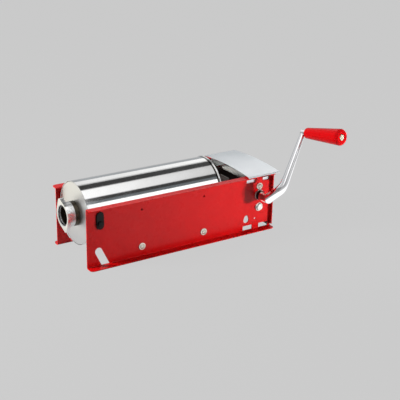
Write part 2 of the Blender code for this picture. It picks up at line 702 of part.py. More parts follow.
def cradle_nut(shop, name, x, side):
    """Return the hexagon nut behind a cradle's side tab."""
    inner = WEB_INNER_Y - SHEET - 2 * SEAT_GAP
    place = axes_matrix((x, side * (inner - NUT_THICKNESS / 2), CRADLE_BOLT_Z),
                        (1, 0, 0), (0, 0, 1))
    outlines = [hex_outline(NUT_ACROSS_FLATS), circle(0.0, 0.0, BOLT_HOLE_RADIUS)]
    return shop.finish(shop.extruded(name, outlines, NUT_THICKNESS, place), "zinc_steel")


def case_plate(shop, name, plate_x, direction):
    """Return a gear case end plate with a window for the rack's bush."""
    plate = channel_plate(shop, name, plate_x, PLATE_TAB, PLATE_BOTTOM,
                          PANEL_HEIGHT - PLATE_TOP_MARGIN, direction)
    tab_edges = sorted((plate_x + direction * SHEET, plate_x + direction * 2 * PLATE_TAB))
    for label, low, high in (("low", 0.0, TAB_BOTTOM), ("high", AXIS_Z, PANEL_HEIGHT)):
        notch = shop.box(f"{name}_{label}_notch", (tab_edges[0], -WEB_OUTER_Y, low),
                         (tab_edges[1], WEB_OUTER_Y, high), cutter=True)
        shop.combine(plate, notch, "DIFFERENCE")
    width = RACK_WIDTH / 2 + RACK_BUSH_WALL + SEAT_GAP
    height = RACK_HEIGHT / 2 + RACK_BUSH_WALL + SEAT_GAP
    window = shop.box(f"{name}_window", (plate_x - PLATE_TAB, -width, AXIS_Z - height),
                      (plate_x + PLATE_TAB, width, AXIS_Z + height), cutter=True)
    shop.combine(plate, window, "DIFFERENCE")
    return shop.finish(plate, "gear_steel")


def rack_bush(shop, name, plate_x, direction):
    """Return the flanged nylon bush that guides the rack through a plate."""
    front = plate_x + direction * (SHEET / 2 + SEAT_GAP)
    flange_end = front + direction * RACK_BUSH_FLANGE_THICKNESS
    tail_end = plate_x - direction * (SHEET / 2 + RACK_BUSH_TAIL)
    width = RACK_WIDTH / 2 + RACK_BUSH_WALL
    height = RACK_HEIGHT / 2 + RACK_BUSH_WALL
    body = sorted((tail_end, (front + flange_end) / 2))
    flange = sorted((front, flange_end))
    ends = sorted((tail_end, flange_end))
    bush = shop.box(name, (body[0], -width, AXIS_Z - height),
                    (body[1], width, AXIS_Z + height))
    collar = shop.box(f"{name}_collar",
                      (flange[0], -width - RACK_BUSH_FLANGE, AXIS_Z - height - RACK_BUSH_FLANGE),
                      (flange[1], width + RACK_BUSH_FLANGE, AXIS_Z + height + RACK_BUSH_FLANGE),
                      cutter=True)
    shop.combine(bush, collar, "UNION")
    bore = shop.box(f"{name}_bore",
                    (ends[0] - SHEET, -RACK_WIDTH / 2 - SEAT_GAP, RACK_TIP_Z - SEAT_GAP),
                    (ends[1] + SHEET, RACK_WIDTH / 2 + SEAT_GAP, RACK_TOP_Z + SEAT_GAP),
                    cutter=True)
    shop.combine(bush, bore, "DIFFERENCE")
    return shop.finish(bush, "white_nylon")


def crown_height(y):
    """Return the height of the cover's mid-surface above its lips' top."""
    inner = FLANGE_EDGE_Y - COVER_EDGE_INSET - COVER_BEND
    return COVER_CROWN * (1.0 - (y / inner) ** 2)


def top_cover(shop):
    """Return the crowned sheet cover with side lips and two inner skirts."""
    edge = FLANGE_EDGE_Y - COVER_EDGE_INSET
    base = PANEL_HEIGHT + SEAT_GAP
    shoulder = base + COVER_LIP
    inner = edge - COVER_BEND
    corner = arc(inner, shoulder - COVER_BEND, COVER_BEND, 0.0, math.pi / 2, BEND_STEPS)
    rise = [inner * (1.0 - index / CROWN_STEPS) for index in range(1, CROWN_STEPS + 1)]
    half = [(edge, base)] + corner + [(y, shoulder + crown_height(y)) for y in rise]
    section = half + [(-y, z) for y, z in reversed(half[:-1])]
    front = BULKHEAD_X - COVER_FRONT_OVERLAP
    rear = PANEL_LENGTH + COVER_REAR_OVERHANG
    cover = shop.bent_sheet("top_cover", [(front, y, z) for y, z in section],
                            (rear - front, 0.0, 0.0), COVER_SHEET)
    outer = WEB_INNER_Y - 2 * SEAT_GAP
    skirt_top = shoulder + crown_height(outer - COVER_SHEET / 2)
    skirt_bottom = GUIDE_BOTTOM_Z + GUIDE_HEIGHT + SKIRT_CLEARANCE
    for side in (-1, 1):
        edges = sorted((side * outer, side * (outer - COVER_SHEET)))
        skirt = shop.box(f"cover_skirt_{side:+d}",
                         (BULKHEAD_X + SKIRT_INSET, edges[0], skirt_bottom),
                         (REAR_PLATE_X - SKIRT_INSET, edges[1], skirt_top), cutter=True)
        shop.combine(cover, skirt, "UNION")
    return shop.finish(cover, "cover_steel")


def rack_guide(shop):
    """Return the nylon bar over the rack, relieved round the large gear."""
    half = GUIDE_LENGTH / 2
    edge = WEB_INNER_Y - SEAT_GAP
    bar = shop.box("rack_guide", (SHAFT_X - half, -edge, GUIDE_BOTTOM_Z),
                   (SHAFT_X + half, edge, GUIDE_BOTTOM_Z + GUIDE_HEIGHT))
    groove = shop.box("guide_groove",
                      (SHAFT_X - GUIDE_LENGTH, -RACK_WIDTH / 2 - SEAT_GAP, 0.0),
                      (SHAFT_X + GUIDE_LENGTH, RACK_WIDTH / 2 + SEAT_GAP,
                       RACK_TOP_Z + SEAT_GAP), cutter=True)
    shop.combine(bar, groove, "DIFFERENCE")
    relief_radius = LARGE_GEAR_RADIUS + RACK_MODULE / 2
    relief_half = LARGE_GEAR_WIDTH / 2 + RACK_MODULE / 2
    relief = shop.extruded("guide_relief", [circle(0.0, 0.0, relief_radius, STEPS)],
                           2 * relief_half,
                           axes_matrix((SHAFT_X, GEAR_Y, MAIN_Z), (1, 0, 0), (0, 0, 1)),
                           cutter=True)
    shop.combine(bar, relief, "DIFFERENCE")
    for side in (-1, 1):
        depth = GUIDE_BOLT_DEPTH + GUIDE_HOLE_SPARE
        hole = shop.extruded(f"guide_hole_{side:+d}", [circle(0.0, 0.0, BOLT_HOLE_RADIUS)],
                             2 * depth,
                             axes_matrix((SHAFT_X, side * WEB_INNER_Y, GUIDE_BOLT_Z),
                                         (1, 0, 0), (0, 0, 1)), cutter=True)
        shop.combine(bar, hole, "DIFFERENCE")
    return shop.finish(bar, "white_nylon")


def shaft_bush(shop, name, z, side, outer, bore):
    """Return a flanged bush in a panel, its flange on the inner side."""
    reach = SHEET + BUSH_PROUD
    flange = outer + BUSH_FLANGE
    thick = BUSH_FLANGE_THICKNESS
    profile = [(outer, reach), (outer, -SEAT_GAP), (flange, -SEAT_GAP),
               (flange, -SEAT_GAP - thick), (bore, -SEAT_GAP - thick), (bore, reach)]
    place = axis_matrix((SHAFT_X, side * WEB_INNER_Y, z), (0, side, 0))
    return shop.finish(shop.turned(name, profile, place, STEPS // 2), "white_nylon")


def build_frame(shop):
    """Build the panels, cradles, gear case plates, cover and their fixings."""
    side_panel(shop, "near_side_panel", -1)
    side_panel(shop, "far_side_panel", 1)
    tab_reach = 2 * SHEET + NUT_THICKNESS + 3 * SEAT_GAP + BOLT_TAIL
    for row, bolt_x in (("front", FRONT_CRADLE_BOLT_X), ("rear", REAR_CRADLE_BOLT_X)):
        cradle(shop, f"{row}_cradle", bolt_x)
        for label, side in (("near", -1), ("far", 1)):
            bolt(shop, f"{row}_bolt_{label}", bolt_x, CRADLE_BOLT_Z, side, tab_reach)
            cradle_nut(shop, f"{row}_nut_{label}", bolt_x, side)
    case_plate(shop, "gearbox_bulkhead", BULKHEAD_X, 1)
    case_plate(shop, "rear_plate", REAR_PLATE_X, -1)
    rack_bush(shop, "front_rack_bush", BULKHEAD_X, -1)
    rack_bush(shop, "rear_rack_bush", REAR_PLATE_X, 1)
    top_cover(shop)
    rack_guide(shop)
    guide_reach = SHEET + SEAT_GAP + GUIDE_BOLT_DEPTH
    for label, side in (("near", -1), ("far", 1)):
        bolt(shop, f"guide_bolt_{label}", SHAFT_X, GUIDE_BOLT_Z, side, guide_reach)
    near_bore = JOURNAL_RADIUS + SEAT_GAP
    far_bore = FAR_JOURNAL_RADIUS + SEAT_GAP
    shaft_bush(shop, "main_bush_near", MAIN_Z, -1, MAIN_BUSH_RADIUS, near_bore)
    shaft_bush(shop, "main_bush_far", MAIN_Z, 1, MAIN_BUSH_RADIUS, far_bore)
    shaft_bush(shop, "slow_bush_near", SLOW_Z, -1, SLOW_BUSH_RADIUS, near_bore)
    shaft_bush(shop, "slow_bush_far", SLOW_Z, 1, SLOW_BUSH_RADIUS, far_bore)


def cylinder_tube(shop):
    """Return the open steel tube with a rolled bead round its rear mouth."""
    outer = CYLINDER_RADIUS
    quarter = math.pi / 2
    bead = arc(outer, CYLINDER_LENGTH - RIM_BEAD, RIM_BEAD, quarter, -quarter, BEND_STEPS)
    profile = [(CYLINDER_BORE, 0.0), (CYLINDER_BORE, CYLINDER_LENGTH)] + bead + [(outer, 0.0)]
    place = axis_matrix((CYLINDER_FRONT_X, 0.0, AXIS_Z), (1, 0, 0))
    return shop.finish(shop.turned("cylinder_tube", profile, place), "polished_steel")


def front_cap(shop):
    """Return the cylinder's front plate with its threaded outlet neck."""
    plate_radius = CYLINDER_BORE - SEAT_GAP
    profile = [(NECK_BORE, -CAP_THICKNESS), (plate_radius, -CAP_THICKNESS),
               (plate_radius, 0.0), (NECK_RADIUS, 0.0), (NECK_RADIUS, NECK_LENGTH - NECK_CHAMFER),
               (NECK_RADIUS - NECK_CHAMFER, NECK_LENGTH), (NECK_BORE, NECK_LENGTH)]
    place = axis_matrix((CYLINDER_FRONT_X + CAP_INSET, 0.0, AXIS_Z), (-1, 0, 0))
    return shop.finish(shop.turned("front_cap", profile, place), "polished_steel")


def lobed_outline(radius):
    """Return a round ring's outline with two opposite wings."""
    tip_centre = LOBE_REACH - LOBE_TIP_RADIUS
    spread = math.acos((radius - LOBE_TIP_RADIUS) / tip_centre)
    points = []
    for turn in (0.0, math.pi):
        wing = LOBE_TILT + turn
        points += arc(tip_centre * math.cos(wing), tip_centre * math.sin(wing),
                      LOBE_TIP_RADIUS, wing - spread, wing + spread, WING_STEPS)
        points += arc(0.0, 0.0, radius, wing + spread, wing + math.pi - spread, RING_STEPS)
    return points


def outlet_ring_nut(shop, pivot):
    """Return the winged ring nut that holds a stuffing tube on the neck."""
    bore = NECK_RADIUS + SEAT_GAP
    barrel = bore + NUT_BARREL_WALL
    profile = [(bore, 0.0), (barrel, 0.0), (barrel, NUT_LENGTH),
               (NUT_LIP_BORE + NUT_CHAMFER, NUT_LENGTH), (NUT_LIP_BORE, NUT_LENGTH - NUT_CHAMFER),
               (NUT_LIP_BORE, NUT_LENGTH - NUT_LIP), (bore, NUT_LENGTH - NUT_LIP)]
    local = axis_matrix((0.0, 0.0, 0.0), (-1, 0, 0))
    nut = shop.turned("outlet_ring_nut", profile, local)
    hole = circle(0.0, 0.0, bore + NUT_BARREL_WALL / 2, STEPS)
    middle = NUT_LENGTH - LOBE_THICKNESS / 2
    wings = shop.extruded("nut_wings", [lobed_outline(barrel + LOBE_RING_STEP), hole],
                          LOBE_THICKNESS - 2 * LOBE_FACE_STEP,
                          axes_matrix((-middle, 0.0, 0.0), (0, 0, 1), (0, 1, 0)), cutter=True)
    wings.parent = pivot
    shop.combine(nut, wings, "UNION")
    return shop.finish(nut, "polished_steel", pivot)


def trunnions(shop):
    """Add the two front pins of the cylinder and their oblong sleeves."""
    for label, side in (("near", -1), ("far", 1)):
        place = axis_matrix((TRUNNION_X, side * CYLINDER_RADIUS, TRUNNION_Z), (0, side, 0))
        start = 2 * SEAT_GAP
        end = start + SLEEVE_LENGTH
        middle_y = side * (CYLINDER_RADIUS + (start + end) / 2)
        outlines = [trunnion_slot(SLEEVE_RADIUS),
                    circle(TRUNNION_X, TRUNNION_Z, TRUNNION_RADIUS + SEAT_GAP)]
        sleeve = shop.extruded(f"trunnion_sleeve_{label}", outlines, SLEEVE_LENGTH,
                               axes_matrix((0.0, middle_y, 0.0), (1, 0, 0), (0, 0, 1)))
        shop.finish(sleeve, "black_nylon")
        head = end + SEAT_GAP
        profile = [(0.0, head + TRUNNION_HEAD),
                   (TRUNNION_HEAD_RADIUS - TRUNNION_CHAMFER, head + TRUNNION_HEAD),
                   (TRUNNION_HEAD_RADIUS, head + TRUNNION_HEAD - TRUNNION_CHAMFER),
                   (TRUNNION_HEAD_RADIUS, head), (TRUNNION_RADIUS, head),
                   (TRUNNION_RADIUS, SEAT_GAP), (0.0, SEAT_GAP)]
        pin = shop.turned(f"trunnion_pin_{label}", profile, place, SMALL_STEPS, closed=False)
        shop.finish(pin, "black_nylon")


def build_cylinder(shop):
    """Build the meat cylinder, its front cap, trunnions and ring nut."""
    cylinder_tube(shop)
    front_cap(shop)
    trunnions(shop)
    nut_x = CYLINDER_FRONT_X + CAP_INSET - 2 * SEAT_GAP
    pivot = shop.pivot("ring_nut_pivot", Matrix.Translation((nut_x, 0.0, AXIS_Z)), shop.root)
    outlet_ring_nut(shop, pivot)


def piston_body(shop, pivot):
    """Return the piston with its seal groove, hub, nut recess and valve hole."""
    radius = CYLINDER_BORE - PISTON_CLEARANCE
    groove = CYLINDER_BORE - SEAT_GAP - SEAL_DEPTH - SEAT_GAP
    groove_end = SEAL_GROOVE_START + SEAL_WIDTH
    bore = STUD_RADIUS + SEAT_GAP
    back = PISTON_THICKNESS + PISTON_HUB_LENGTH
    profile = [(STUD_RECESS_RADIUS, 0.0), (radius - PISTON_CHAMFER, 0.0),
               (radius, PISTON_CHAMFER),
               (radius, SEAL_GROOVE_START), (groove, SEAL_GROOVE_START), (groove, groove_end),
               (radius, groove_end), (radius, PISTON_THICKNESS),
               (PISTON_HUB_RADIUS, PISTON_THICKNESS), (PISTON_HUB_RADIUS, back), (bore, back),
               (bore, STUD_RECESS_DEPTH), (STUD_RECESS_RADIUS, STUD_RECESS_DEPTH)]
    local = axis_matrix((0, 0, 0), (1, 0, 0))
    piston = shop.turned("piston", profile[::-1], local)
    stem = VALVE_STEM + SEAT_GAP
    head = VALVE_HEAD_RADIUS + SEAT_GAP
    hole_profile = [(0.0, PISTON_THICKNESS * 2), (stem, PISTON_THICKNESS * 2),
                    (stem, VALVE_RECESS_DEPTH), (head, VALVE_RECESS_DEPTH),
                    (head, -VALVE_HEAD), (0.0, -VALVE_HEAD)]
    hole = shop.turned("valve_hole", hole_profile, axis_matrix((0, 0, VALVE_OFFSET), (1, 0, 0)),
                       SMALL_STEPS, closed=False, cutter=True)
    hole.parent = pivot
    shop.combine(piston, hole, "DIFFERENCE")
    return shop.finish(piston, "white_nylon", pivot)


def rack(shop, pivot):
    """Return the toothed rack with the stud that holds the piston."""
    half = RACK_WIDTH / 2
    bar = shop.box("rack", (RACK_START_X - PISTON_FRONT_X, -half, RACK_TIP_Z - AXIS_Z),
                   (PANEL_LENGTH - PISTON_FRONT_X, half, RACK_TOP_Z - AXIS_Z))
    outlines = [[(x - PISTON_FRONT_X, z - AXIS_Z) for x, z in space]
                for space in rack_spaces()]
    spaces = shop.extruded("rack_tooth_spaces", outlines, 2 * RACK_WIDTH,
                           axes_matrix((0, 0, 0), (1, 0, 0), (0, 0, 1)), cutter=True)
    spaces.parent = pivot
    shop.combine(bar, spaces, "DIFFERENCE")
    start = RACK_START_X - PISTON_FRONT_X
    profile = [(0.0, start + STUD_ROOT), (STUD_RADIUS, start + STUD_ROOT),
               (STUD_RADIUS, 2 * STUD_CHAMFER), (STUD_RADIUS - STUD_CHAMFER, STUD_CHAMFER),
               (0.0, STUD_CHAMFER)]
    stud = shop.turned("rack_stud", profile, axis_matrix((0, 0, 0), (1, 0, 0)),
                       SMALL_STEPS, closed=False, cutter=True)
    stud.parent = pivot
    shop.combine(bar, stud, "UNION")
    return shop.finish(bar, "gear_steel", pivot)


def build_piston(shop):
    """Build the piston, its seal, nut, air valve and rack on one sliding pivot."""
    place = Matrix.Translation((PISTON_FRONT_X, 0.0, AXIS_Z))
    pivot = shop.pivot("piston_pivot", place, shop.root)
    piston_body(shop, pivot)
    local = axis_matrix((0, 0, 0), (1, 0, 0))
    outer = CYLINDER_BORE - SEAT_GAP
    seal = shop.turned("piston_seal",
                       ring_profile(outer - SEAL_DEPTH, outer, SEAL_GROOVE_START + SEAT_GAP,
                                    SEAL_GROOVE_START + SEAL_WIDTH - SEAT_GAP), local)
    shop.finish(seal, "silicone", pivot)
    thickness = STUD_RECESS_DEPTH - 4 * SEAT_GAP
    middle = STUD_RECESS_DEPTH - SEAT_GAP - thickness / 2
    nut = shop.extruded("piston_nut",
                        [hex_outline(STUD_NUT_ACROSS), circle(0, 0, STUD_RADIUS + SEAT_GAP)],
                        thickness, axes_matrix((middle, 0, 0), (0, 1, 0), (0, 0, 1)))
    shop.finish(nut, "polished_steel", pivot)
    rack(shop, pivot)
    valve_pivot = shop.pivot("air_valve_pivot", Matrix.Translation((0, 0, VALVE_OFFSET)), pivot)
    tail = PISTON_THICKNESS + VALVE_TRAVEL + SEAT_GAP
    seat = VALVE_RECESS_DEPTH - SEAT_GAP
    tail_radius = VALVE_HEAD_RADIUS - VALVE_TAIL_STEP
    profile = [(0.0, tail + VALVE_HEAD), (tail_radius, tail + VALVE_HEAD),
               (tail_radius, tail), (VALVE_STEM, tail), (VALVE_STEM, seat),
               (VALVE_HEAD_RADIUS, seat), (VALVE_HEAD_RADIUS, seat - VALVE_HEAD),
               (0.0, seat - VALVE_HEAD)]
    valve = shop.turned("air_valve", profile, local, SMALL_STEPS, closed=False)
    shop.finish(valve, "silicone", valve_pivot)


def square_socket(shop, name, pivot, end_y, turn):
    """Return the cutter of a square drive socket in a shaft's near end."""
    half = SQUARE_DRIVE / 2 + SEAT_GAP
    socket = shop.box(name, (-half, end_y - SOCKET_DEPTH, -half),
                      (half, end_y + SOCKET_DEPTH, half), cutter=True,
                      matrix=Matrix.Rotation(turn, 4, "Y"))
    socket.parent = pivot
    return socket


def shaft(shop, name, pivot, near_end, far_end, neck_start):
    """Return a stepped shaft with a clip groove at its thinner far end."""
    groove = FAR_JOURNAL_RADIUS - CLIP_DEPTH
    clip_y = WEB_OUTER_Y + BUSH_PROUD + SEAT_GAP
    clip_end = clip_y + CLIP_THICKNESS + 2 * SEAT_GAP
    profile = [(0.0, far_end), (FAR_JOURNAL_RADIUS - SHAFT_CHAMFER, far_end),
               (FAR_JOURNAL_RADIUS, far_end - SHAFT_CHAMFER), (FAR_JOURNAL_RADIUS, clip_end),
               (groove, clip_end), (groove, clip_y), (FAR_JOURNAL_RADIUS, clip_y),
               (FAR_JOURNAL_RADIUS, neck_start), (JOURNAL_RADIUS, neck_start),
               (JOURNAL_RADIUS, near_end + SHAFT_CHAMFER),
               (JOURNAL_RADIUS - SHAFT_CHAMFER, near_end), (0.0, near_end)]
    piece = shop.turned(name, profile, axis_matrix((0, 0, 0), SHAFT_AXIS), STEPS // 2,
                        closed=False)
    piece.parent = pivot
    return piece


def toothed(shop, name, module, teeth, phase, width, y, pivot):
    """Return a solid toothed wheel as a tool to join to its shaft."""
    wheel = shop.extruded(name, [gear_outline(module, teeth, phase)], width,
                          axes_matrix((0, y, 0), (1, 0, 0), (0, 0, 1)), cutter=True)
    wheel.parent = pivot
    return wheel


def shaft_clip(shop, name, pivot):
    """Return the open retaining ring in a shaft's far groove."""
    inner = FAR_JOURNAL_RADIUS - CLIP_DEPTH + SEAT_GAP
    clip_y = WEB_OUTER_Y + BUSH_PROUD + 2 * SEAT_GAP
    turns = [CLIP_OPENING + (math.tau - 2 * CLIP_OPENING) * index / CLIP_STEPS
             for index in range(CLIP_STEPS + 1)]
    outline = [(CLIP_RADIUS * math.cos(turn), CLIP_RADIUS * math.sin(turn)) for turn in turns]
    outline += [(inner * math.cos(turn), inner * math.sin(turn)) for turn in reversed(turns)]
    clip = shop.extruded(name, [outline], CLIP_THICKNESS,
                         axes_matrix((0, clip_y + CLIP_THICKNESS / 2, 0), (1, 0, 0), (0, 0, 1)))
    return shop.finish(clip, "gear_steel", pivot)


def large_gear(shop, pivot):
    """Return the large gear with lightening holes and a boss."""
    bore = circle(0.0, 0.0, JOURNAL_RADIUS + SEAT_GAP, STEPS // 2)
    outlines = [gear_outline(GEAR_MODULE, LARGE_GEAR_TEETH, math.pi / 2), bore]
    root = GEAR_MODULE * (LARGE_GEAR_TEETH / 2 - DEDENDUM)
    hole_ring = (root + GEAR_BOSS_RADIUS) / 2
    for index in range(LIGHTENING_HOLES):
        turn = math.tau * index / LIGHTENING_HOLES
        outlines.append(circle(hole_ring * math.cos(turn), hole_ring * math.sin(turn),
                               LIGHTENING_RADIUS, HOLE_STEPS))
    gear = shop.extruded("large_gear", outlines, LARGE_GEAR_WIDTH,
                         axes_matrix((0, GEAR_Y, 0), (1, 0, 0), (0, 0, 1)))
    boss = shop.turned("gear_boss",
                       ring_profile(JOURNAL_RADIUS + SEAT_GAP, GEAR_BOSS_RADIUS,
                                    GEAR_Y + LARGE_GEAR_WIDTH / 2 - GEAR_BOSS_SINK,
                                    GEAR_Y + LARGE_GEAR_WIDTH / 2 + GEAR_BOSS_LENGTH),
                       axis_matrix((0, 0, 0), SHAFT_AXIS), STEPS // 2, cutter=True)
    boss.parent = pivot
    shop.combine(gear, boss, "UNION")
    return shop.finish(gear, "gear_steel", pivot)


def build_drive(shop):
    """Build the main shaft with its pinion, the large gear and the collar."""
    pivot = shop.pivot("main_shaft_pivot", Matrix.Translation((SHAFT_X, 0.0, MAIN_Z)), shop.root)
    near_end = -(WEB_OUTER_Y + MAIN_SHAFT_PROUD)
    far_end = WEB_OUTER_Y + FAR_SHAFT_PROUD
    boss_end = GEAR_Y + LARGE_GEAR_WIDTH / 2 + GEAR_BOSS_LENGTH
    main = shaft(shop, "main_shaft", pivot, near_end, far_end, boss_end + SEAT_GAP)
    pinion = toothed(shop, "rack_pinion_teeth", RACK_MODULE, PINION_TEETH, math.pi / 2,
                     PINION_WIDTH, 0.0, pivot)
    shop.combine(main, pinion, "UNION")
    socket = square_socket(shop, "main_socket", pivot, near_end, CRANK_LEAN)
    shop.combine(main, socket, "DIFFERENCE")
    shop.finish(main, "gear_steel", pivot)
    large_gear(shop, pivot)
    collar_start = WEB_OUTER_Y + BUSH_PROUD + SEAT_GAP
    collar = shop.turned("shaft_collar",
                         ring_profile(JOURNAL_RADIUS + SEAT_GAP, COLLAR_RADIUS,
                                      collar_start, collar_start + COLLAR_WIDTH),
                         axis_matrix((0, 0, 0), (0, -1, 0)), STEPS // 2)
    shop.finish(collar, "black_nylon", pivot)
    shaft_clip(shop, "main_shaft_clip", pivot)
    build_crank(shop, pivot, near_end)


def socket_plug(shop, pivot, near_end):
    """Return the round-headed nylon plug in the slow shaft's unused socket."""
    face = near_end - SEAT_GAP
    half = SQUARE_DRIVE / 2
    plug = shop.turned("slow_socket_plug",
                       [(0.0, -face), (PLUG_RADIUS, -face), (PLUG_RADIUS, PLUG_HEAD / 2 - face),
                        (PLUG_RADIUS - PLUG_HEAD / 2, PLUG_HEAD - face), (0.0, PLUG_HEAD - face)],
                       axis_matrix((0, 0, 0), (0, -1, 0)), STEPS // 2, closed=False)
    stem = shop.box("plug_stem", (-half, face - PLUG_ROOT, -half),
                    (half, near_end + PLUG_LENGTH, half), cutter=True)
    stem.parent = pivot
    shop.combine(plug, stem, "UNION")
    return shop.finish(plug, "white_nylon", pivot)


def build_slow_shaft(shop):
    """Build the slow shaft whose small pinion turns the large gear."""
    pivot = shop.pivot("slow_shaft_pivot", Matrix.Translation((SHAFT_X, 0.0, SLOW_Z)), shop.root)
    near_end = -(WEB_OUTER_Y + SLOW_SHAFT_PROUD)
    far_end = WEB_OUTER_Y + FAR_SHAFT_PROUD
    neck = -(WEB_INNER_Y - 2 * SOCKET_DEPTH)
    slow = shaft(shop, "slow_shaft", pivot, near_end, far_end, neck)
    half_pitch = math.pi / SLOW_PINION_TEETH
    pinion = toothed(shop, "slow_pinion_teeth", GEAR_MODULE, SLOW_PINION_TEETH,
                     math.pi / 2 + half_pitch, SLOW_PINION_WIDTH, GEAR_Y, pivot)
    shop.combine(slow, pinion, "UNION")
    socket = square_socket(shop, "slow_socket", pivot, near_end, 0.0)
    shop.combine(slow, socket, "DIFFERENCE")
    shop.finish(slow, "gear_steel", pivot)
    shaft_clip(shop, "slow_shaft_clip", pivot)
    socket_plug(shop, pivot, near_end)


def arm_mesh(shop, name, points, radii):
    """Return a round bar that tapers along a line of points."""
    curve = bpy.data.curves.new(name, "CURVE")
    curve.dimensions = "3D"
    curve.bevel_depth = 1.0
    curve.bevel_resolution = 4
    curve.use_fill_caps = True
    spline = curve.splines.new("POLY")
    spline.points.add(len(points) - 1)
    for point, place, radius in zip(spline.points, points, radii):
        point.co = (*place, 1.0)
        point.radius = radius
    return shop.curve_to_mesh(bpy.data.objects.new(name, curve), Matrix.Identity(4))


def crank_path(hub_y):
    """Return the arm's centre line and radii, hub to tip, in the crank's plane."""
    hub = Vector((0.0, hub_y, 0.0))
    elbow = Vector((0.0, hub_y - ELBOW_REACH, ELBOW_RISE))
    along = Vector((0.0, math.sin(ARM_RETURN), math.cos(ARM_RETURN)))
    tip = elbow + along * ARM_LENGTH
    before = elbow + (hub - elbow).normalized() * ELBOW_RUN
    after = elbow + along * ELBOW_RUN
    bend = []
    for index in range(CURVE_STEPS + 1):
        t = index / CURVE_STEPS
        bend.append(before * (1 - t) ** 2 + elbow * (2 * t * (1 - t)) + after * t ** 2)
    points = [hub] + bend + [tip]
    lengths = [0.0]
    for start, end in zip(points, points[1:]):
        lengths.append(lengths[-1] + (end - start).length)
    turn = lengths[CURVE_STEPS]
    radii = []
    for run in lengths:
        if run <= turn:
            share = run / turn
            radii.append(ARM_ROOT_RADIUS + (ARM_ELBOW_RADIUS - ARM_ROOT_RADIUS) * share)
        else:
            share = (run - turn) / (lengths[-1] - turn)
            radii.append(ARM_START_RADIUS + (ARM_TIP_RADIUS - ARM_START_RADIUS) * share)
    return points, radii, tip


def build_crank(shop, shaft_pivot, shaft_end):
    """Build the crank arm on its square drive, with the turning grip."""
    pivot = shop.pivot("crank_plane", Matrix.Rotation(CRANK_LEAN, 4, "Y"), shaft_pivot)
    hub_face = shaft_end - SEAT_GAP
    hub_end = hub_face - HUB_LENGTH
    points, radii, tip = crank_path(hub_end + ARM_INSET)
    outward = Vector((0.0, -math.cos(ARM_RETURN), math.sin(ARM_RETURN)))
    arm = arm_mesh(shop, "crank_arm", points, radii)
    arm.parent = pivot
    hub = shop.turned("crank_hub",
                      [(0.0, -hub_face), (HUB_RADIUS - HUB_CHAMFER, -hub_face),
                       (HUB_RADIUS, HUB_CHAMFER - hub_face),
                       (HUB_RADIUS, -hub_end - HUB_END_CHAMFER),
                       (HUB_RADIUS - HUB_END_CHAMFER, -hub_end), (0.0, -hub_end)],
                      axis_matrix((0, 0, 0), (0, -1, 0)), STEPS // 2, closed=False, cutter=True)
    half = SQUARE_DRIVE / 2
    stub = shop.box("crank_stub", (-half, hub_face - HUB_ROOT, -half),
                    (half, shaft_end + SOCKET_DEPTH - SOCKET_SPARE, half), cutter=True)
    eye = shop.turned("crank_eye",
                      [(0.0, ARM_EYE_FRONT), (ARM_EYE_RADIUS, ARM_EYE_FRONT),
                       (ARM_EYE_RADIUS, -ARM_EYE_BACK), (0.0, -ARM_EYE_BACK)],
                      axis_matrix(tip, outward), STEPS // 2, closed=False, cutter=True)
    pin_hole = shop.turned("crank_pin_hole",
                           [(0.0, 2 * ARM_EYE_FRONT),
                            (GRIP_PIN_RADIUS + SEAT_GAP, 2 * ARM_EYE_FRONT),
                            (GRIP_PIN_RADIUS + SEAT_GAP, -2 * ARM_EYE_BACK),
                            (0.0, -2 * ARM_EYE_BACK)],
                           axis_matrix(tip, outward), SMALL_STEPS, closed=False, cutter=True)
    for tool, operation in ((hub, "UNION"), (stub, "UNION"), (eye, "UNION"),
                            (pin_hole, "DIFFERENCE")):
        tool.parent = pivot
        shop.combine(arm, tool, operation)
    shop.finish(arm, "chrome", pivot)
    build_grip(shop, pivot, tip, outward)


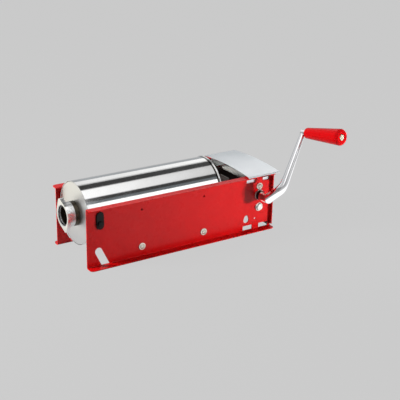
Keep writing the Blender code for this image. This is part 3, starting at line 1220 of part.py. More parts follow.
def build_grip(shop, crank_pivot, tip, outward):
    """Build the grip, its pin and its end cap on the pin's axis."""
    pivot = shop.pivot("grip_pivot", axis_matrix(tip, outward), crank_pivot)
    start = ARM_EYE_FRONT + SEAT_GAP
    end = start + GRIP_LENGTH
    recess = end - GRIP_CAP_LENGTH - GRIP_PIN_HEAD - 2 * SEAT_GAP
    bore = GRIP_PIN_RADIUS + SEAT_GAP
    pocket = GRIP_CAP_RADIUS + SEAT_GAP
    shoulder = end - GRIP_END_ROUNDING
    rounding = arc(GRIP_LARGE_RADIUS - GRIP_END_ROUNDING, shoulder, GRIP_END_ROUNDING,
                   0.0, math.pi / 2)
    profile = [(bore, start), (GRIP_NECK_RADIUS, start),
               (GRIP_SMALL_RADIUS, start + GRIP_NECK_LENGTH)] + rounding
    profile += [(pocket, end), (pocket, recess), (bore, recess)]
    grip = shop.turned("grip", profile, Matrix.Identity(4), STEPS // 2)
    shop.finish(grip, "grip_red", pivot)
    pin_start = -ARM_EYE_BACK - GRIP_PIN_PROUD
    head_start = recess + SEAT_GAP
    pin_profile = [(0.0, head_start + GRIP_PIN_HEAD),
                   (GRIP_PIN_HEAD_RADIUS, head_start + GRIP_PIN_HEAD),
                   (GRIP_PIN_HEAD_RADIUS, head_start), (GRIP_PIN_RADIUS, head_start),
                   (GRIP_PIN_RADIUS, pin_start), (0.0, pin_start)]
    pin = shop.turned("grip_pin", pin_profile, axis_matrix(tip, outward), SMALL_STEPS,
                      closed=False)
    shop.finish(pin, "chrome", crank_pivot)
    cap_start = head_start + GRIP_PIN_HEAD + SEAT_GAP
    cap_profile = [(0.0, end + GRIP_CAP_DOME),
                   (GRIP_CAP_RADIUS - GRIP_CAP_SHOULDER_INSET, end + GRIP_CAP_SHOULDER),
                   (GRIP_CAP_RADIUS, end - GRIP_CAP_EDGE_DROP), (GRIP_CAP_RADIUS, cap_start),
                   (0.0, cap_start)]
    cap = shop.turned("grip_cap", cap_profile, Matrix.Identity(4), SMALL_STEPS, closed=False)
    shop.finish(cap, "cream_plastic", pivot)


def centre_on_ground(shop):
    """Move the machine so that its box is centred on the origin, standing on Z = 0."""
    bpy.context.view_layer.update()
    graph = bpy.context.evaluated_depsgraph_get()
    corners = []
    for piece in shop.parts.objects:
        if piece.type == "MESH":
            shown = piece.evaluated_get(graph)
            corners += [shown.matrix_world @ corner.co for corner in shown.data.vertices]
    low = [min(corner[axis] for corner in corners) for axis in range(3)]
    high = [max(corner[axis] for corner in corners) for axis in range(3)]
    shop.root.location = (-(low[0] + high[0]) / 2, -(low[1] + high[1]) / 2, -low[2])


def main():
    """Build the whole machine."""
    clear_scene()
    shop = Workshop()
    build_frame(shop)
    build_cylinder(shop)
    build_piston(shop)
    build_drive(shop)
    build_slow_shaft(shop)
    centre_on_ground(shop)


main()
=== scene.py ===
"""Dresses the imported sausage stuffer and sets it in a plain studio.

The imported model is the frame. Each class below is one sub-assembly of the
machine: it models its finer pieces with Blender's own tools, dresses them with
procedural finishes and hangs them on the frame's bodies. Lengths are in metres,
in the frame's own coordinates: the cylinder lies along X with its outlet at -X,
the crank stands on the -Y side and the panels rest on Z = 0.
"""

import json
import logging
import math
from dataclasses import dataclass, field
from enum import Enum

import bpy
from mathutils import Matrix, Vector


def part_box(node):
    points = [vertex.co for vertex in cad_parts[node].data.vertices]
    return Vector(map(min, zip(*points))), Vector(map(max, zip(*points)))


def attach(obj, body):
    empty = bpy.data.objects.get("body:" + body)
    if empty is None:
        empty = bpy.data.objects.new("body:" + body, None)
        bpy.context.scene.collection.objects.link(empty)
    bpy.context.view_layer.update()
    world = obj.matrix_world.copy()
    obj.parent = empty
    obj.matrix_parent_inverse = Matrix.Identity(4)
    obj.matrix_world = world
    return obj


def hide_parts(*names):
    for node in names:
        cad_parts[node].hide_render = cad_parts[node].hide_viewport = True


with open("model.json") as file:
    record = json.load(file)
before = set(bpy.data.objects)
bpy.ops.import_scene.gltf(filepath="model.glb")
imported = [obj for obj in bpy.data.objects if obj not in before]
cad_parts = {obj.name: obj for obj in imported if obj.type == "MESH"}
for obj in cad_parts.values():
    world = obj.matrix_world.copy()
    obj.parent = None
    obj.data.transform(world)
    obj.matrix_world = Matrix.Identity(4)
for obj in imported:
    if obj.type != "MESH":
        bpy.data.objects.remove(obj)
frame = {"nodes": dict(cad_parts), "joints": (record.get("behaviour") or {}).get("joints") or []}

LOG = logging.getLogger("sausage_stuffer")
MM = 0.001
MERGE = 0.004 * MM
FLAT_ANGLE = math.radians(0.6)
SMOOTH_ANGLE = math.radians(32.0)
UP = Vector((0.0, 0.0, 1.0))

Colour = tuple[float, float, float]
Triple = tuple[float, float, float]
Point = tuple[float, float]
Profile = list[Point]
Piece = bpy.types.Object
Socket = bpy.types.NodeSocket


class Combine(Enum):
    """How a tool piece changes another piece."""

    JOIN = "UNION"
    CUT = "DIFFERENCE"


class Side(Enum):
    """The machine's two long sides, by the sign of Y."""

    NEAR = -1
    FAR = 1


class End(Enum):
    """A piece's two ends along X, by the sign of X from that end into the piece."""

    FRONT = 1
    REAR = -1


def take(piece: Piece) -> Piece:
    """Select one piece alone and make it the active one.

    Args:
        piece: the piece to work on.

    Returns:
        The same piece.
    """
    bpy.ops.object.select_all(action="DESELECT")
    piece.select_set(True)
    bpy.context.view_layer.objects.active = piece
    return piece


def finish_step(piece: Piece, kind: str, **settings: object) -> None:
    """Add a modifier to the active piece, set it and apply it.

    Args:
        piece: the active piece.
        kind: the modifier's type.
        settings: the modifier's own settings.
    """
    bpy.ops.object.modifier_add(type=kind)
    step = piece.modifiers[-1]
    for name, value in settings.items():
        setattr(step, name, value)
    bpy.ops.object.modifier_apply(modifier=step.name)


def close_up(piece: Piece) -> Piece:
    """Merge doubles, turn every face outwards and put the origin at zero.

    Args:
        piece: the active piece, in edit mode.

    Returns:
        The piece, in object mode.
    """
    bpy.ops.mesh.select_all(action="SELECT")
    bpy.ops.mesh.remove_doubles(threshold=MERGE)
    bpy.ops.mesh.normals_make_consistent(inside=False)
    bpy.ops.object.mode_set(mode="OBJECT")
    bpy.ops.object.transform_apply(location=True, rotation=True, scale=True)
    return piece


def start_outline(name: str, points: list[Vector]) -> Piece:
    """Draw a line of edges in a new piece, point by point.

    Args:
        name: the piece's name.
        points: the line's points in the frame's coordinates.

    Returns:
        The new piece, in edit mode, with its last point selected.
    """
    bpy.ops.object.select_all(action="DESELECT")
    bpy.ops.mesh.primitive_plane_add(size=MM, location=points[0])
    piece = bpy.context.active_object
    piece.name = name
    bpy.ops.object.mode_set(mode="EDIT")
    bpy.ops.mesh.select_all(action="SELECT")
    bpy.ops.mesh.merge(type="CENTER")
    for start, end in zip(points, points[1:]):
        bpy.ops.mesh.extrude_region_move(TRANSFORM_OT_translate={"value": end - start})
    return piece


def turned(name: str, profile: Profile, place: Matrix, steps: int = 96) -> Piece:
    """Turn a half profile round the Z axis of a place, as on a lathe.

    Args:
        name: the piece's name.
        profile: (radius, height) points. A closed ring ends where it starts.
        place: the matrix whose Z axis is the turning axis.
        steps: the number of faces round the axis.

    Returns:
        The closed piece.
    """
    points = [place @ Vector((radius, 0.0, height)) for radius, height in profile]
    piece = start_outline(name, points)
    bpy.ops.mesh.select_all(action="SELECT")
    bpy.ops.mesh.spin(steps=steps, angle=math.tau, center=place.translation,
                      axis=place.to_3x3() @ UP)
    return close_up(piece)


def plate(name: str, outline: Profile, place: Matrix, thickness: float) -> Piece:
    """Fill an outline and extrude it along the Z axis of a place.

    Args:
        name: the piece's name.
        outline: the outline's points in the place's XY plane.
        place: the matrix of the plate's lower face.
        thickness: how far the face is extruded.

    Returns:
        The closed plate.
    """
    points = [place @ Vector((x, y, 0.0)) for x, y in outline]
    piece = start_outline(name, points + points[:1])
    bpy.ops.mesh.select_all(action="SELECT")
    bpy.ops.mesh.remove_doubles(threshold=MERGE)
    bpy.ops.mesh.edge_face_add()
    rise = place.to_3x3() @ Vector((0.0, 0.0, thickness))
    bpy.ops.mesh.extrude_region_move(TRANSFORM_OT_translate={"value": rise})
    return close_up(piece)


def swept(name: str, stations: list[tuple[Vector, Vector, float]], steps: int = 40) -> Piece:
    """Bridge rings along a path into one round bar with closed ends.

    Args:
        name: the piece's name.
        stations: (centre, direction, radius) of each ring, in order.
        steps: the number of faces round the bar.

    Returns:
        The closed bar.
    """
    bpy.ops.object.select_all(action="DESELECT")
    for index, (centre, direction, radius) in enumerate(stations):
        turn = direction.to_track_quat("Z", "X").to_euler()
        bpy.ops.mesh.primitive_circle_add(vertices=steps, radius=radius, location=centre,
                                          rotation=turn)
        if index == 0:
            piece = bpy.context.active_object
            piece.name = name
            bpy.ops.object.mode_set(mode="EDIT")
    bpy.ops.mesh.select_all(action="SELECT")
    bpy.ops.mesh.bridge_edge_loops()
    bpy.ops.mesh.select_all(action="DESELECT")
    bpy.ops.mesh.select_non_manifold()
    bpy.ops.mesh.edge_face_add()
    return close_up(piece)


def combine(piece: Piece, tool: Piece, how: Combine) -> None:
    """Join a tool piece to a piece or cut it out, and remove the tool.

    Args:
        piece: the piece that stays.
        tool: the piece that is used up.
        how: joined or cut.
    """
    take(piece)
    finish_step(piece, "BOOLEAN", object=tool, operation=how.value, solver="EXACT")
    bpy.data.objects.remove(tool, do_unlink=True)


def soften(piece: Piece, width: float = 0.0, segments: int = 2, angle: float = 40.0) -> Piece:
    """Round a piece's sharp edges and shade the rest smooth.

    Args:
        piece: the piece.
        width: the width of the rounding, or 0 for a profile that has its own.
        segments: the number of faces across the rounding.
        angle: the least angle between faces, in degrees, that counts as an edge.

    Returns:
        The same piece.
    """
    take(piece)
    if width > 0.0:
        finish_step(piece, "BEVEL", width=width, segments=segments, limit_method="ANGLE",
                    angle_limit=math.radians(angle))
    bpy.ops.object.shade_smooth_by_angle(angle=SMOOTH_ANGLE)
    finish_step(piece, "WEIGHTED_NORMAL", weight=100, keep_sharp=True)
    return piece


def copied(name: str, node: str) -> Piece:
    """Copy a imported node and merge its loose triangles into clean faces.

    Args:
        name: the new piece's name.
        node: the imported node.

    Returns:
        The new piece.
    """
    piece = moved_copy(name, frame["nodes"][node], Matrix.Identity(4))
    take(piece)
    bpy.ops.mesh.customdata_custom_splitnormals_clear()
    bpy.ops.object.mode_set(mode="EDIT")
    bpy.ops.mesh.select_all(action="SELECT")
    bpy.ops.mesh.remove_doubles(threshold=MERGE)
    bpy.ops.mesh.dissolve_limited(angle_limit=FLAT_ANGLE)
    bpy.ops.object.mode_set(mode="OBJECT")
    return piece


def moved_copy(name: str, source: Piece, place: Matrix) -> Piece:
    """Copy a piece with its own mesh to another place.

    Args:
        name: the copy's name.
        source: the piece that is copied.
        place: the matrix that carries the source's mesh to its place.

    Returns:
        The copy.
    """
    mesh = source.data.copy()
    mesh.transform(place)
    piece = bpy.data.objects.new(name, mesh)
    bpy.context.scene.collection.objects.link(piece)
    return piece


def axis_place(origin: Vector, direction: Vector) -> Matrix:
    """Return the matrix whose Z axis points along a direction.

    Args:
        origin: the matrix's origin.
        direction: where Z points.

    Returns:
        The matrix.
    """
    turn = UP.rotation_difference(direction)
    return Matrix.Translation(origin) @ turn.to_matrix().to_4x4()


def arc(centre: Point, radius: float, start: float, end: float, steps: int) -> Profile:
    """Return points on an arc, both ends among them.

    Args:
        centre: the arc's centre.
        radius: the arc's radius.
        start: the first point's angle, in degrees.
        end: the last point's angle, in degrees.
        steps: the number of chords.

    Returns:
        The points.
    """
    turns = [math.radians(start + (end - start) * index / steps) for index in range(steps + 1)]
    return [(centre[0] + radius * math.cos(turn), centre[1] + radius * math.sin(turn))
            for turn in turns]


def middle(node: str) -> Vector:
    """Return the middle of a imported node's box."""
    low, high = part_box(node)
    return (low + high) / 2


def end_place(node: str, end: End) -> Matrix:
    """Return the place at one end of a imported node, with Z along X into the node.

    Args:
        node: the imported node.
        end: which of its ends.

    Returns:
        The matrix, its origin in the middle of that end.
    """
    low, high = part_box(node)
    origin = middle(node)
    origin.x = low.x if end is End.FRONT else high.x
    return axis_place(origin, Vector((end.value, 0, 0)))


class NodeBench:
    """A node tree, with short ways to add to it."""

    def __init__(self, tree: bpy.types.NodeTree) -> None:
        """Start work on a tree."""
        self.tree = tree

    def fill(self, node: bpy.types.Node, inputs: dict) -> None:
        """Set a node's inputs, by name or number, to plain values or sockets."""
        for key, value in inputs.items():
            if isinstance(value, Socket):
                self.tree.links.new(value, node.inputs[key])
            else:
                node.inputs[key].default_value = value

    def add(self, kind: str, inputs: dict | None = None, **settings: object) -> bpy.types.Node:
        """Add a node.

        Args:
            kind: the node's type.
            inputs: values or sockets for its inputs, by name or number.
            settings: the node's own settings.

        Returns:
            The node.
        """
        node = self.tree.nodes.new(kind)
        for name, value in settings.items():
            setattr(node, name, value)
        self.fill(node, inputs or {})
        return node

    def reckon(self, operation: str, first: Socket, second: Socket | float) -> Socket:
        """Return the result of a sum on two values, such as ADD or MULTIPLY."""
        return self.add("ShaderNodeMath", {0: first, 1: second}, operation=operation).outputs[0]

    def ray_share(self) -> Socket:
        """Return 1 for camera, glossy and transmission rays, and 0 for the rest."""
        rays = self.add("ShaderNodeLightPath").outputs
        seen = self.reckon("MAXIMUM", rays["Is Camera Ray"], rays["Is Glossy Ray"])
        return self.reckon("MAXIMUM", seen, rays["Is Transmission Ray"])

    def show_mix(self, output: str, share: Socket, first: bpy.types.Node,
                 second: bpy.types.Node) -> None:
        """Send a mix of two shaders to the tree's output.

        Args:
            output: the output node's name.
            share: 0 for the first shader alone and 1 for the second alone.
            first: the first shader.
            second: the second shader.
        """
        mix = self.add("ShaderNodeMixShader",
                       {0: share, 1: first.outputs[0], 2: second.outputs[0]})
        self.fill(self.tree.nodes[output], {"Surface": mix.outputs[0]})


class MaterialBench(NodeBench):
    """A new material's node tree, with the patterns of the finishes."""

    def __init__(self, name: str) -> None:
        """Start a material with its shader and its object coordinates."""
        self.material = bpy.data.materials.new(name)
        self.material.use_nodes = True
        super().__init__(self.material.node_tree)
        self.shader = self.tree.nodes["Principled BSDF"]
        self.place = self.add("ShaderNodeTexCoord").outputs["Object"]

    def axes(self) -> bpy.types.NodeOutputs:
        """Return the object coordinates as their X, Y and Z sockets."""
        return self.add("ShaderNodeSeparateXYZ", {0: self.place}).outputs

    def stretched(self, scale: Triple) -> Socket:
        """Return the object coordinates, scaled along each axis."""
        return self.add("ShaderNodeMapping", {"Vector": self.place, "Scale": scale}).outputs[0]

    def noise(self, place: Socket, scale: float, detail: float = 4.0,
              roughness: float = 0.55) -> Socket:
        """Return a noise pattern's strength.

        Args:
            place: the coordinates that it reads.
            scale: its size, in cycles per metre.
            detail: how many finer layers it has.
            roughness: how strong the finer layers are.

        Returns:
            The pattern, from 0 to 1.
        """
        node = self.add("ShaderNodeTexNoise", {"Vector": place, "Scale": scale,
                                               "Detail": detail, "Roughness": roughness})
        return node.outputs["Fac"]

    def span(self, value: Socket, low: float, high: float, start: float = 0.3,
             end: float = 0.7) -> Socket:
        """Carry a pattern's middle range to another range.

        Args:
            value: the pattern.
            low: the result at start.
            high: the result at end.
            start: the pattern's lower value.
            end: the pattern's upper value.

        Returns:
            The result.
        """
        node = self.add("ShaderNodeMapRange", {"Value": value, "From Min": start,
                                               "From Max": end, "To Min": low, "To Max": high})
        return node.outputs["Result"]

    def blend(self, share: Socket, first: Colour | Socket, second: Colour) -> Socket:
        """Return a colour between two, by a share from 0 to 1."""
        start = first if isinstance(first, Socket) else (*first, 1.0)
        node = self.add("ShaderNodeMix", {0: share, 6: start, 7: (*second, 1.0)},
                        data_type="RGBA")
        return node.outputs[2]

    def bump(self, height: Socket, distance: float) -> Socket:
        """Return a normal bent by a height pattern whose full range is a distance."""
        return self.add("ShaderNodeBump", {"Height": height, "Distance": distance,
                                           "Strength": 1.0}).outputs["Normal"]


@dataclass(frozen=True)
class Paint:
    """A glossy stoved paint with a fine orange peel."""

    name: str
    slot: str
    colour: Colour
    shade: Colour
    roughness: float = 0.28
    roughness_range: Point = (-0.05, 0.07)
    specular: float = 0.2
    coat: float = 0.06
    coat_roughness: float = 0.08
    cloud_scale: float = 9.0
    dust_scale: float = 60.0
    peel_scale: float = 420.0
    peel_height: float = 0.005 * MM

    def material(self) -> bpy.types.Material:
        """Return the paint as a material."""
        bench = MaterialBench(self.name)
        cloud = bench.noise(bench.place, self.cloud_scale, 5.0)
        peel = bench.noise(bench.place, self.peel_scale, 2.0)
        dust = bench.noise(bench.place, self.dust_scale, 6.0, 0.65)
        low, high = (self.roughness + change for change in self.roughness_range)
        bench.fill(bench.shader, {
            "Base Color": bench.blend(bench.span(cloud, 0.0, 1.0), self.shade, self.colour),
            "Roughness": bench.span(dust, low, high),
            "Normal": bench.bump(peel, self.peel_height),
            "Specular IOR Level": self.specular,
            "Coat Weight": self.coat,
            "Coat Roughness": self.coat_roughness,
        })
        return bench.material


@dataclass(frozen=True)
class Steel:
    """Bare or plated metal with a grain drawn along one direction.

    A piece round the cylinder's axis can have painted shade in its bore, and a
    band of painted shade between two places on the axis, given from the
    cylinder's middle. Lines and haze move the roughness by shares of its spread.
    """

    name: str
    slot: str
    colour: Colour
    stain: Colour
    roughness: float
    spread: float = 0.5
    line_share: float = 0.6
    haze_shares: Point = (-0.4, 1.0)
    haze_scale: float = 22.0
    grain: Triple = (4.0, 160.0, 160.0)
    grain_scale: float = 6.0
    grain_height: float = 0.002 * MM
    # The colour of the painted shade in the bore and in the band.
    painted_shade: Colour = (0.16, 0.13, 0.10)
    shaded_bore: float = 0.0
    bore_edge: float = 0.3 * MM
    shaded_band: Point = (0.0, 0.0)
    band_edge: float = 0.4 * MM

    def bore_shade_share(self, bench: MaterialBench) -> Socket:
        """Return 1 inside the bore's painted shade and 0 outside it."""
        centre = middle("cylinder_tube")
        across = bench.add("ShaderNodeVectorMath", {0: bench.place, 1: (0.0, 1.0, 1.0)},
                           operation="MULTIPLY").outputs[0]
        away = bench.add("ShaderNodeVectorMath", {0: across, 1: (0.0, centre.y, centre.z)},
                         operation="DISTANCE").outputs["Value"]
        return bench.span(away, 1.0, 0.0, self.shaded_bore, self.shaded_bore + self.bore_edge)

    def band_shade_share(self, bench: MaterialBench) -> Socket:
        """Return 1 in the band of painted shade and 0 outside it."""
        along = bench.axes()[0]
        start, end = (middle("cylinder_tube").x + place for place in self.shaded_band)
        rise = bench.span(along, 0.0, 1.0, start - self.band_edge, start + self.band_edge)
        fall = bench.span(along, 1.0, 0.0, end - self.band_edge, end + self.band_edge)
        return bench.reckon("MULTIPLY", rise, fall)

    def material(self) -> bpy.types.Material:
        """Return the metal as a material."""
        bench = MaterialBench(self.name)
        lines = bench.noise(bench.stretched(self.grain), self.grain_scale, 6.0, 0.7)
        haze = bench.noise(bench.place, self.haze_scale, 5.0, 0.6)
        worn = self.roughness * self.spread
        low, high = (self.roughness + worn * share for share in self.haze_shares)
        rough = bench.reckon("ADD",
                             bench.span(lines, -worn * self.line_share, worn * self.line_share),
                             bench.span(haze, low, high))
        colour = bench.blend(bench.span(haze, 0.0, 1.0), self.stain, self.colour)
        # Painted shade: darken the bore and the band towards the shade colour.
        if self.shaded_bore:
            colour = bench.blend(self.bore_shade_share(bench), colour, self.painted_shade)
        if self.shaded_band[0] < self.shaded_band[1]:
            colour = bench.blend(self.band_shade_share(bench), colour, self.painted_shade)
        bench.fill(bench.shader, {
            "Base Color": colour,
            "Metallic": 1.0,
            "Roughness": rough,
            "Normal": bench.bump(lines, self.grain_height),
        })
        return bench.material


@dataclass(frozen=True)
class Moulded:
    """A moulded plastic, a rubber, or a near-black coat of painted shade, with a faint skin."""

    name: str
    slot: str
    colour: Colour
    shade: Colour
    roughness: float
    roughness_range: Point = (-0.04, 0.08)
    specular: float = 0.5
    flow_scale: float = 14.0
    smear_scale: float = 85.0
    skin_scale: float = 700.0
    skin_height: float = 0.006 * MM

    def material(self) -> bpy.types.Material:
        """Return the plastic as a material."""
        bench = MaterialBench(self.name)
        flow = bench.noise(bench.place, self.flow_scale, 4.0)
        skin = bench.noise(bench.place, self.skin_scale, 3.0)
        smear = bench.noise(bench.place, self.smear_scale, 5.0, 0.6)
        low, high = (self.roughness + change for change in self.roughness_range)
        bench.fill(bench.shader, {
            "Base Color": bench.blend(bench.span(flow, 0.0, 1.0), self.shade, self.colour),
            "Roughness": bench.span(smear, low, high),
            "Normal": bench.bump(skin, self.skin_height),
            "Specular IOR Level": self.specular,
        })
        return bench.material


class Finish(Enum):
    """Every finish on the machine, with the record's material slot that it is for."""

    PAINTED_RED = Paint("painted_red_finish", "painted_red", (0.60, 0.004, 0.005),
                        (0.55, 0.003, 0.004))
    # The tube carries a band of painted shade just in front of its rolled rear bead.
    POLISHED_STEEL = Steel("polished_steel_finish", "polished_steel", (0.86, 0.86, 0.86),
                           (0.80, 0.80, 0.79), 0.075, grain_height=0.0012 * MM,
                           shaded_band=(158.6 * MM, 163.4 * MM), painted_shade=(0.06, 0.055, 0.05))
    # The cap's neck bore is darkened with painted shade.
    FACED_STEEL = Steel("faced_steel_finish", "polished_steel", (0.88, 0.88, 0.88),
                        (0.84, 0.84, 0.84), 0.34, spread=0.2, grain=(60.0, 60.0, 60.0),
                        grain_height=0.001 * MM, shaded_bore=21.1 * MM)
    # The rear of the nut's barrel, where it meets the cap's neck, is darkened with a band of
    # painted shade.
    NUT_STEEL = Steel("nut_steel_finish", "polished_steel", (0.88, 0.88, 0.88),
                      (0.82, 0.82, 0.82), 0.20, grain=(40.0, 40.0, 40.0),
                      grain_height=0.001 * MM, shaded_band=(-176.5 * MM, -160.0 * MM),
                      painted_shade=(0.09, 0.075, 0.055))
    COVER_STEEL = Steel("cover_steel_finish", "cover_steel", (0.90, 0.93, 0.95),
                        (0.87, 0.90, 0.92), 0.36, spread=0.2, grain=(150.0, 5.0, 20.0),
                        grain_height=0.0015 * MM)
    ZINC_STEEL = Steel("zinc_steel_finish", "zinc_steel", (0.82, 0.78, 0.70),
                       (0.68, 0.64, 0.56), 0.24, grain=(40.0, 40.0, 40.0))
    GEAR_STEEL = Steel("gear_steel_finish", "gear_steel", (0.46, 0.46, 0.47),
                       (0.34, 0.33, 0.33), 0.34, grain=(40.0, 8.0, 40.0))
    # The gear case's plates are near-black brown as painted shade for the dark gap behind the
    # cylinder.
    CASE_PAINTED_SHADE = Moulded("case_painted_shade_finish", "gear_steel", (0.034, 0.024, 0.020),
                         (0.026, 0.019, 0.016), 0.60, specular=0.15)
    CHROME = Steel("chrome_finish", "chrome", (0.90, 0.90, 0.91), (0.84, 0.84, 0.86), 0.07,
                   grain=(30.0, 30.0, 30.0), grain_height=0.001 * MM)
    # The piston's dark brown is partly its nylon and partly painted shade for the cylinder's
    # inside, seen through the outlet.
    DARK_NYLON_AND_SHADE = Moulded("dark_nylon_and_shade_finish", "black_nylon", (0.060, 0.045, 0.030),
                         (0.045, 0.034, 0.024), 0.5)
    WHITE_NYLON = Moulded("white_nylon_finish", "white_nylon", (0.80, 0.79, 0.74),
                          (0.72, 0.71, 0.66), 0.42)
    BLACK_NYLON = Moulded("black_nylon_finish", "black_nylon", (0.006, 0.006, 0.006),
                          (0.010, 0.009, 0.009), 0.28, specular=0.15)
    SILICONE = Moulded("silicone_finish", "silicone", (0.62, 0.60, 0.54),
                       (0.55, 0.53, 0.48), 0.5)
    GRIP_RED = Moulded("grip_red_finish", "grip_red", (0.64, 0.001, 0.003),
                       (0.60, 0.001, 0.003), 0.30, specular=0.10)
    CREAM_PLASTIC = Moulded("cream_plastic_finish", "cream_plastic", (0.70, 0.66, 0.50),
                            (0.64, 0.60, 0.46), 0.36)


class Fitter:
    """Dresses finished pieces and hangs them on the frame's bodies."""

    def __init__(self) -> None:
        """Start with no material made."""
        self.made: dict[Finish, bpy.types.Material] = {}

    def hang(self, piece: Piece, finish: Finish, body: str, *nodes: str) -> None:
        """Dress a piece and hang it on the frame.

        Args:
            piece: the finished piece.
            finish: its finish, whose material is made when it is first used.
            body: the body that it moves with.
            nodes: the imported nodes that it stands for.
        """
        if finish not in self.made:
            self.made[finish] = finish.value.material()
        piece.data.materials.clear()
        piece.data.materials.append(self.made[finish])
        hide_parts(*nodes)
        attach(piece, body)
        LOG.info("%s rides on %s, %d faces", piece.name, body, len(piece.data.polygons))

    def rework(self, name: str, node: str, edge: float, finish: Finish, body: str,
               segments: int = 2) -> None:
        """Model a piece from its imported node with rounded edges, and hang it.

        Args:
            name: the piece's name.
            node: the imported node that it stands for.
            edge: the width of the rounding.
            finish: its finish.
            body: the body that it moves with.
            segments: the number of faces across the rounding.
        """
        self.hang(soften(copied(name, node), edge, segments), finish, body, node)


@dataclass
class SheetWork:
    """The painted panels and cradles, and the gear case's plates in painted shade."""

    fitter: Fitter
    edge: float = 0.45 * MM
    sheets: tuple[tuple[str, str, Finish], ...] = (
        ("near_panel_sheet", "near_side_panel", Finish.PAINTED_RED),
        ("far_panel_sheet", "far_side_panel", Finish.PAINTED_RED),
        ("front_cradle_sheet", "front_cradle", Finish.PAINTED_RED),
        ("rear_cradle_sheet", "rear_cradle", Finish.PAINTED_RED),
        ("bulkhead_sheet", "gearbox_bulkhead", Finish.CASE_PAINTED_SHADE),
        ("rear_plate_sheet", "rear_plate", Finish.CASE_PAINTED_SHADE))

    def build(self) -> None:
        """Model each sheet from its node with softened edges, and dress it."""
        for name, node, finish in self.sheets:
            self.fitter.rework(name, node, self.edge, finish, "frame")


@dataclass
class MeatCylinder:
    """The polished tube, its front cap with the neck, and its trunnions."""

    fitter: Fitter
    wall: float = 1.5 * MM
    bead: float = 1.0 * MM
    bead_curve: float = 1.6 * MM
    groove: float = 0.5 * MM
    groove_width: float = 3.2 * MM
    edge: float = 0.4 * MM
    neck_bore: float = 21.0 * MM
    neck_radius: float = 24.0 * MM
    neck_length: float = 23.0 * MM
    neck_fillet: float = 1.5 * MM
    neck_plain: float = 4.0 * MM
    neck_chamfer: float = 1.0 * MM
    cap_chamfer: float = 0.6 * MM
    thread_pitch: float = 2.5 * MM
    thread_depth: float = 0.7 * MM
    thread_end: float = 1.5 * MM
    steps: int = 160

    def build(self) -> None:
        """Model and dress the tube, cap, sleeves and pins."""
        self.build_tube()
        self.build_cap()
        for side in Side:
            self.build_trunnion(side.name.lower())

    def build_tube(self) -> None:
        """Turn the tube with a rolled bead round its rear mouth."""
        low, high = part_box("cylinder_tube")
        length = high.x - low.x
        outer = (high.z - low.z) / 2 - self.bead
        inner = outer - self.wall
        edge = self.edge
        roll = (outer + self.bead - self.bead_curve, length - self.bead_curve)
        foot = math.degrees(math.acos((self.bead_curve - self.bead) / self.bead_curve))
        profile = [(inner, edge), (inner, length - edge), (inner + edge, length)]
        profile += arc(roll, self.bead_curve, 90.0, -foot, 12)
        start = profile[-1][1]
        for share in (0.2, 0.4, 0.6, 0.8):
            dip = self.groove * math.sin(math.pi * share)
            profile.append((outer - dip, start - self.groove_width * share))
        profile += [(outer, start - self.groove_width), (outer, edge), (outer - edge, 0.0),
                    (inner + edge, 0.0), (inner, edge)]
        place = end_place("cylinder_tube", End.FRONT)
        tube = soften(turned("tube_shell", profile, place, self.steps))
        self.fitter.hang(tube, Finish.POLISHED_STEEL, "frame", "cylinder_tube")

    def build_cap(self) -> None:
        """Turn the front plate and its neck, with the thread for the ring nut."""
        low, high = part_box("front_cap")
        radius = (high.z - low.z) / 2
        length = high.x - low.x
        face = length - self.neck_length
        foot = self.neck_radius + self.neck_fillet
        profile = [(self.neck_bore, 0.0), (radius, 0.0), (radius, face - self.cap_chamfer),
                   (radius - self.cap_chamfer, face), (foot, face)]
        profile += arc((foot, face + self.neck_fillet), self.neck_fillet, 270.0, 180.0, 4)[1:]
        height = face + self.neck_plain
        while height + self.thread_pitch < length - self.thread_end:
            profile += [(self.neck_radius, height),
                        (self.neck_radius - self.thread_depth, height + self.thread_pitch * 0.5)]
            height += self.thread_pitch
        profile += [(self.neck_radius, height), (self.neck_radius, length - self.neck_chamfer),
                    (self.neck_radius - self.neck_chamfer, length),
                    (self.neck_bore + self.edge, length), (self.neck_bore, length - self.edge),
                    (self.neck_bore, 0.0)]
        place = end_place("front_cap", End.REAR)
        cap = soften(turned("cap_with_neck", profile, place, self.steps))
        self.fitter.hang(cap, Finish.FACED_STEEL, "frame", "front_cap")

    def build_trunnion(self, label: str) -> None:
        """Round one oblong sleeve and its headed pin, and dress them.

        Args:
            label: near or far.
        """
        for part, corner in (("sleeve", 0.8 * MM), ("pin", 0.9 * MM)):
            node = f"trunnion_{part}_{label}"
            self.fitter.rework(f"{node}_moulded", node, corner, Finish.BLACK_NYLON, "frame", 3)


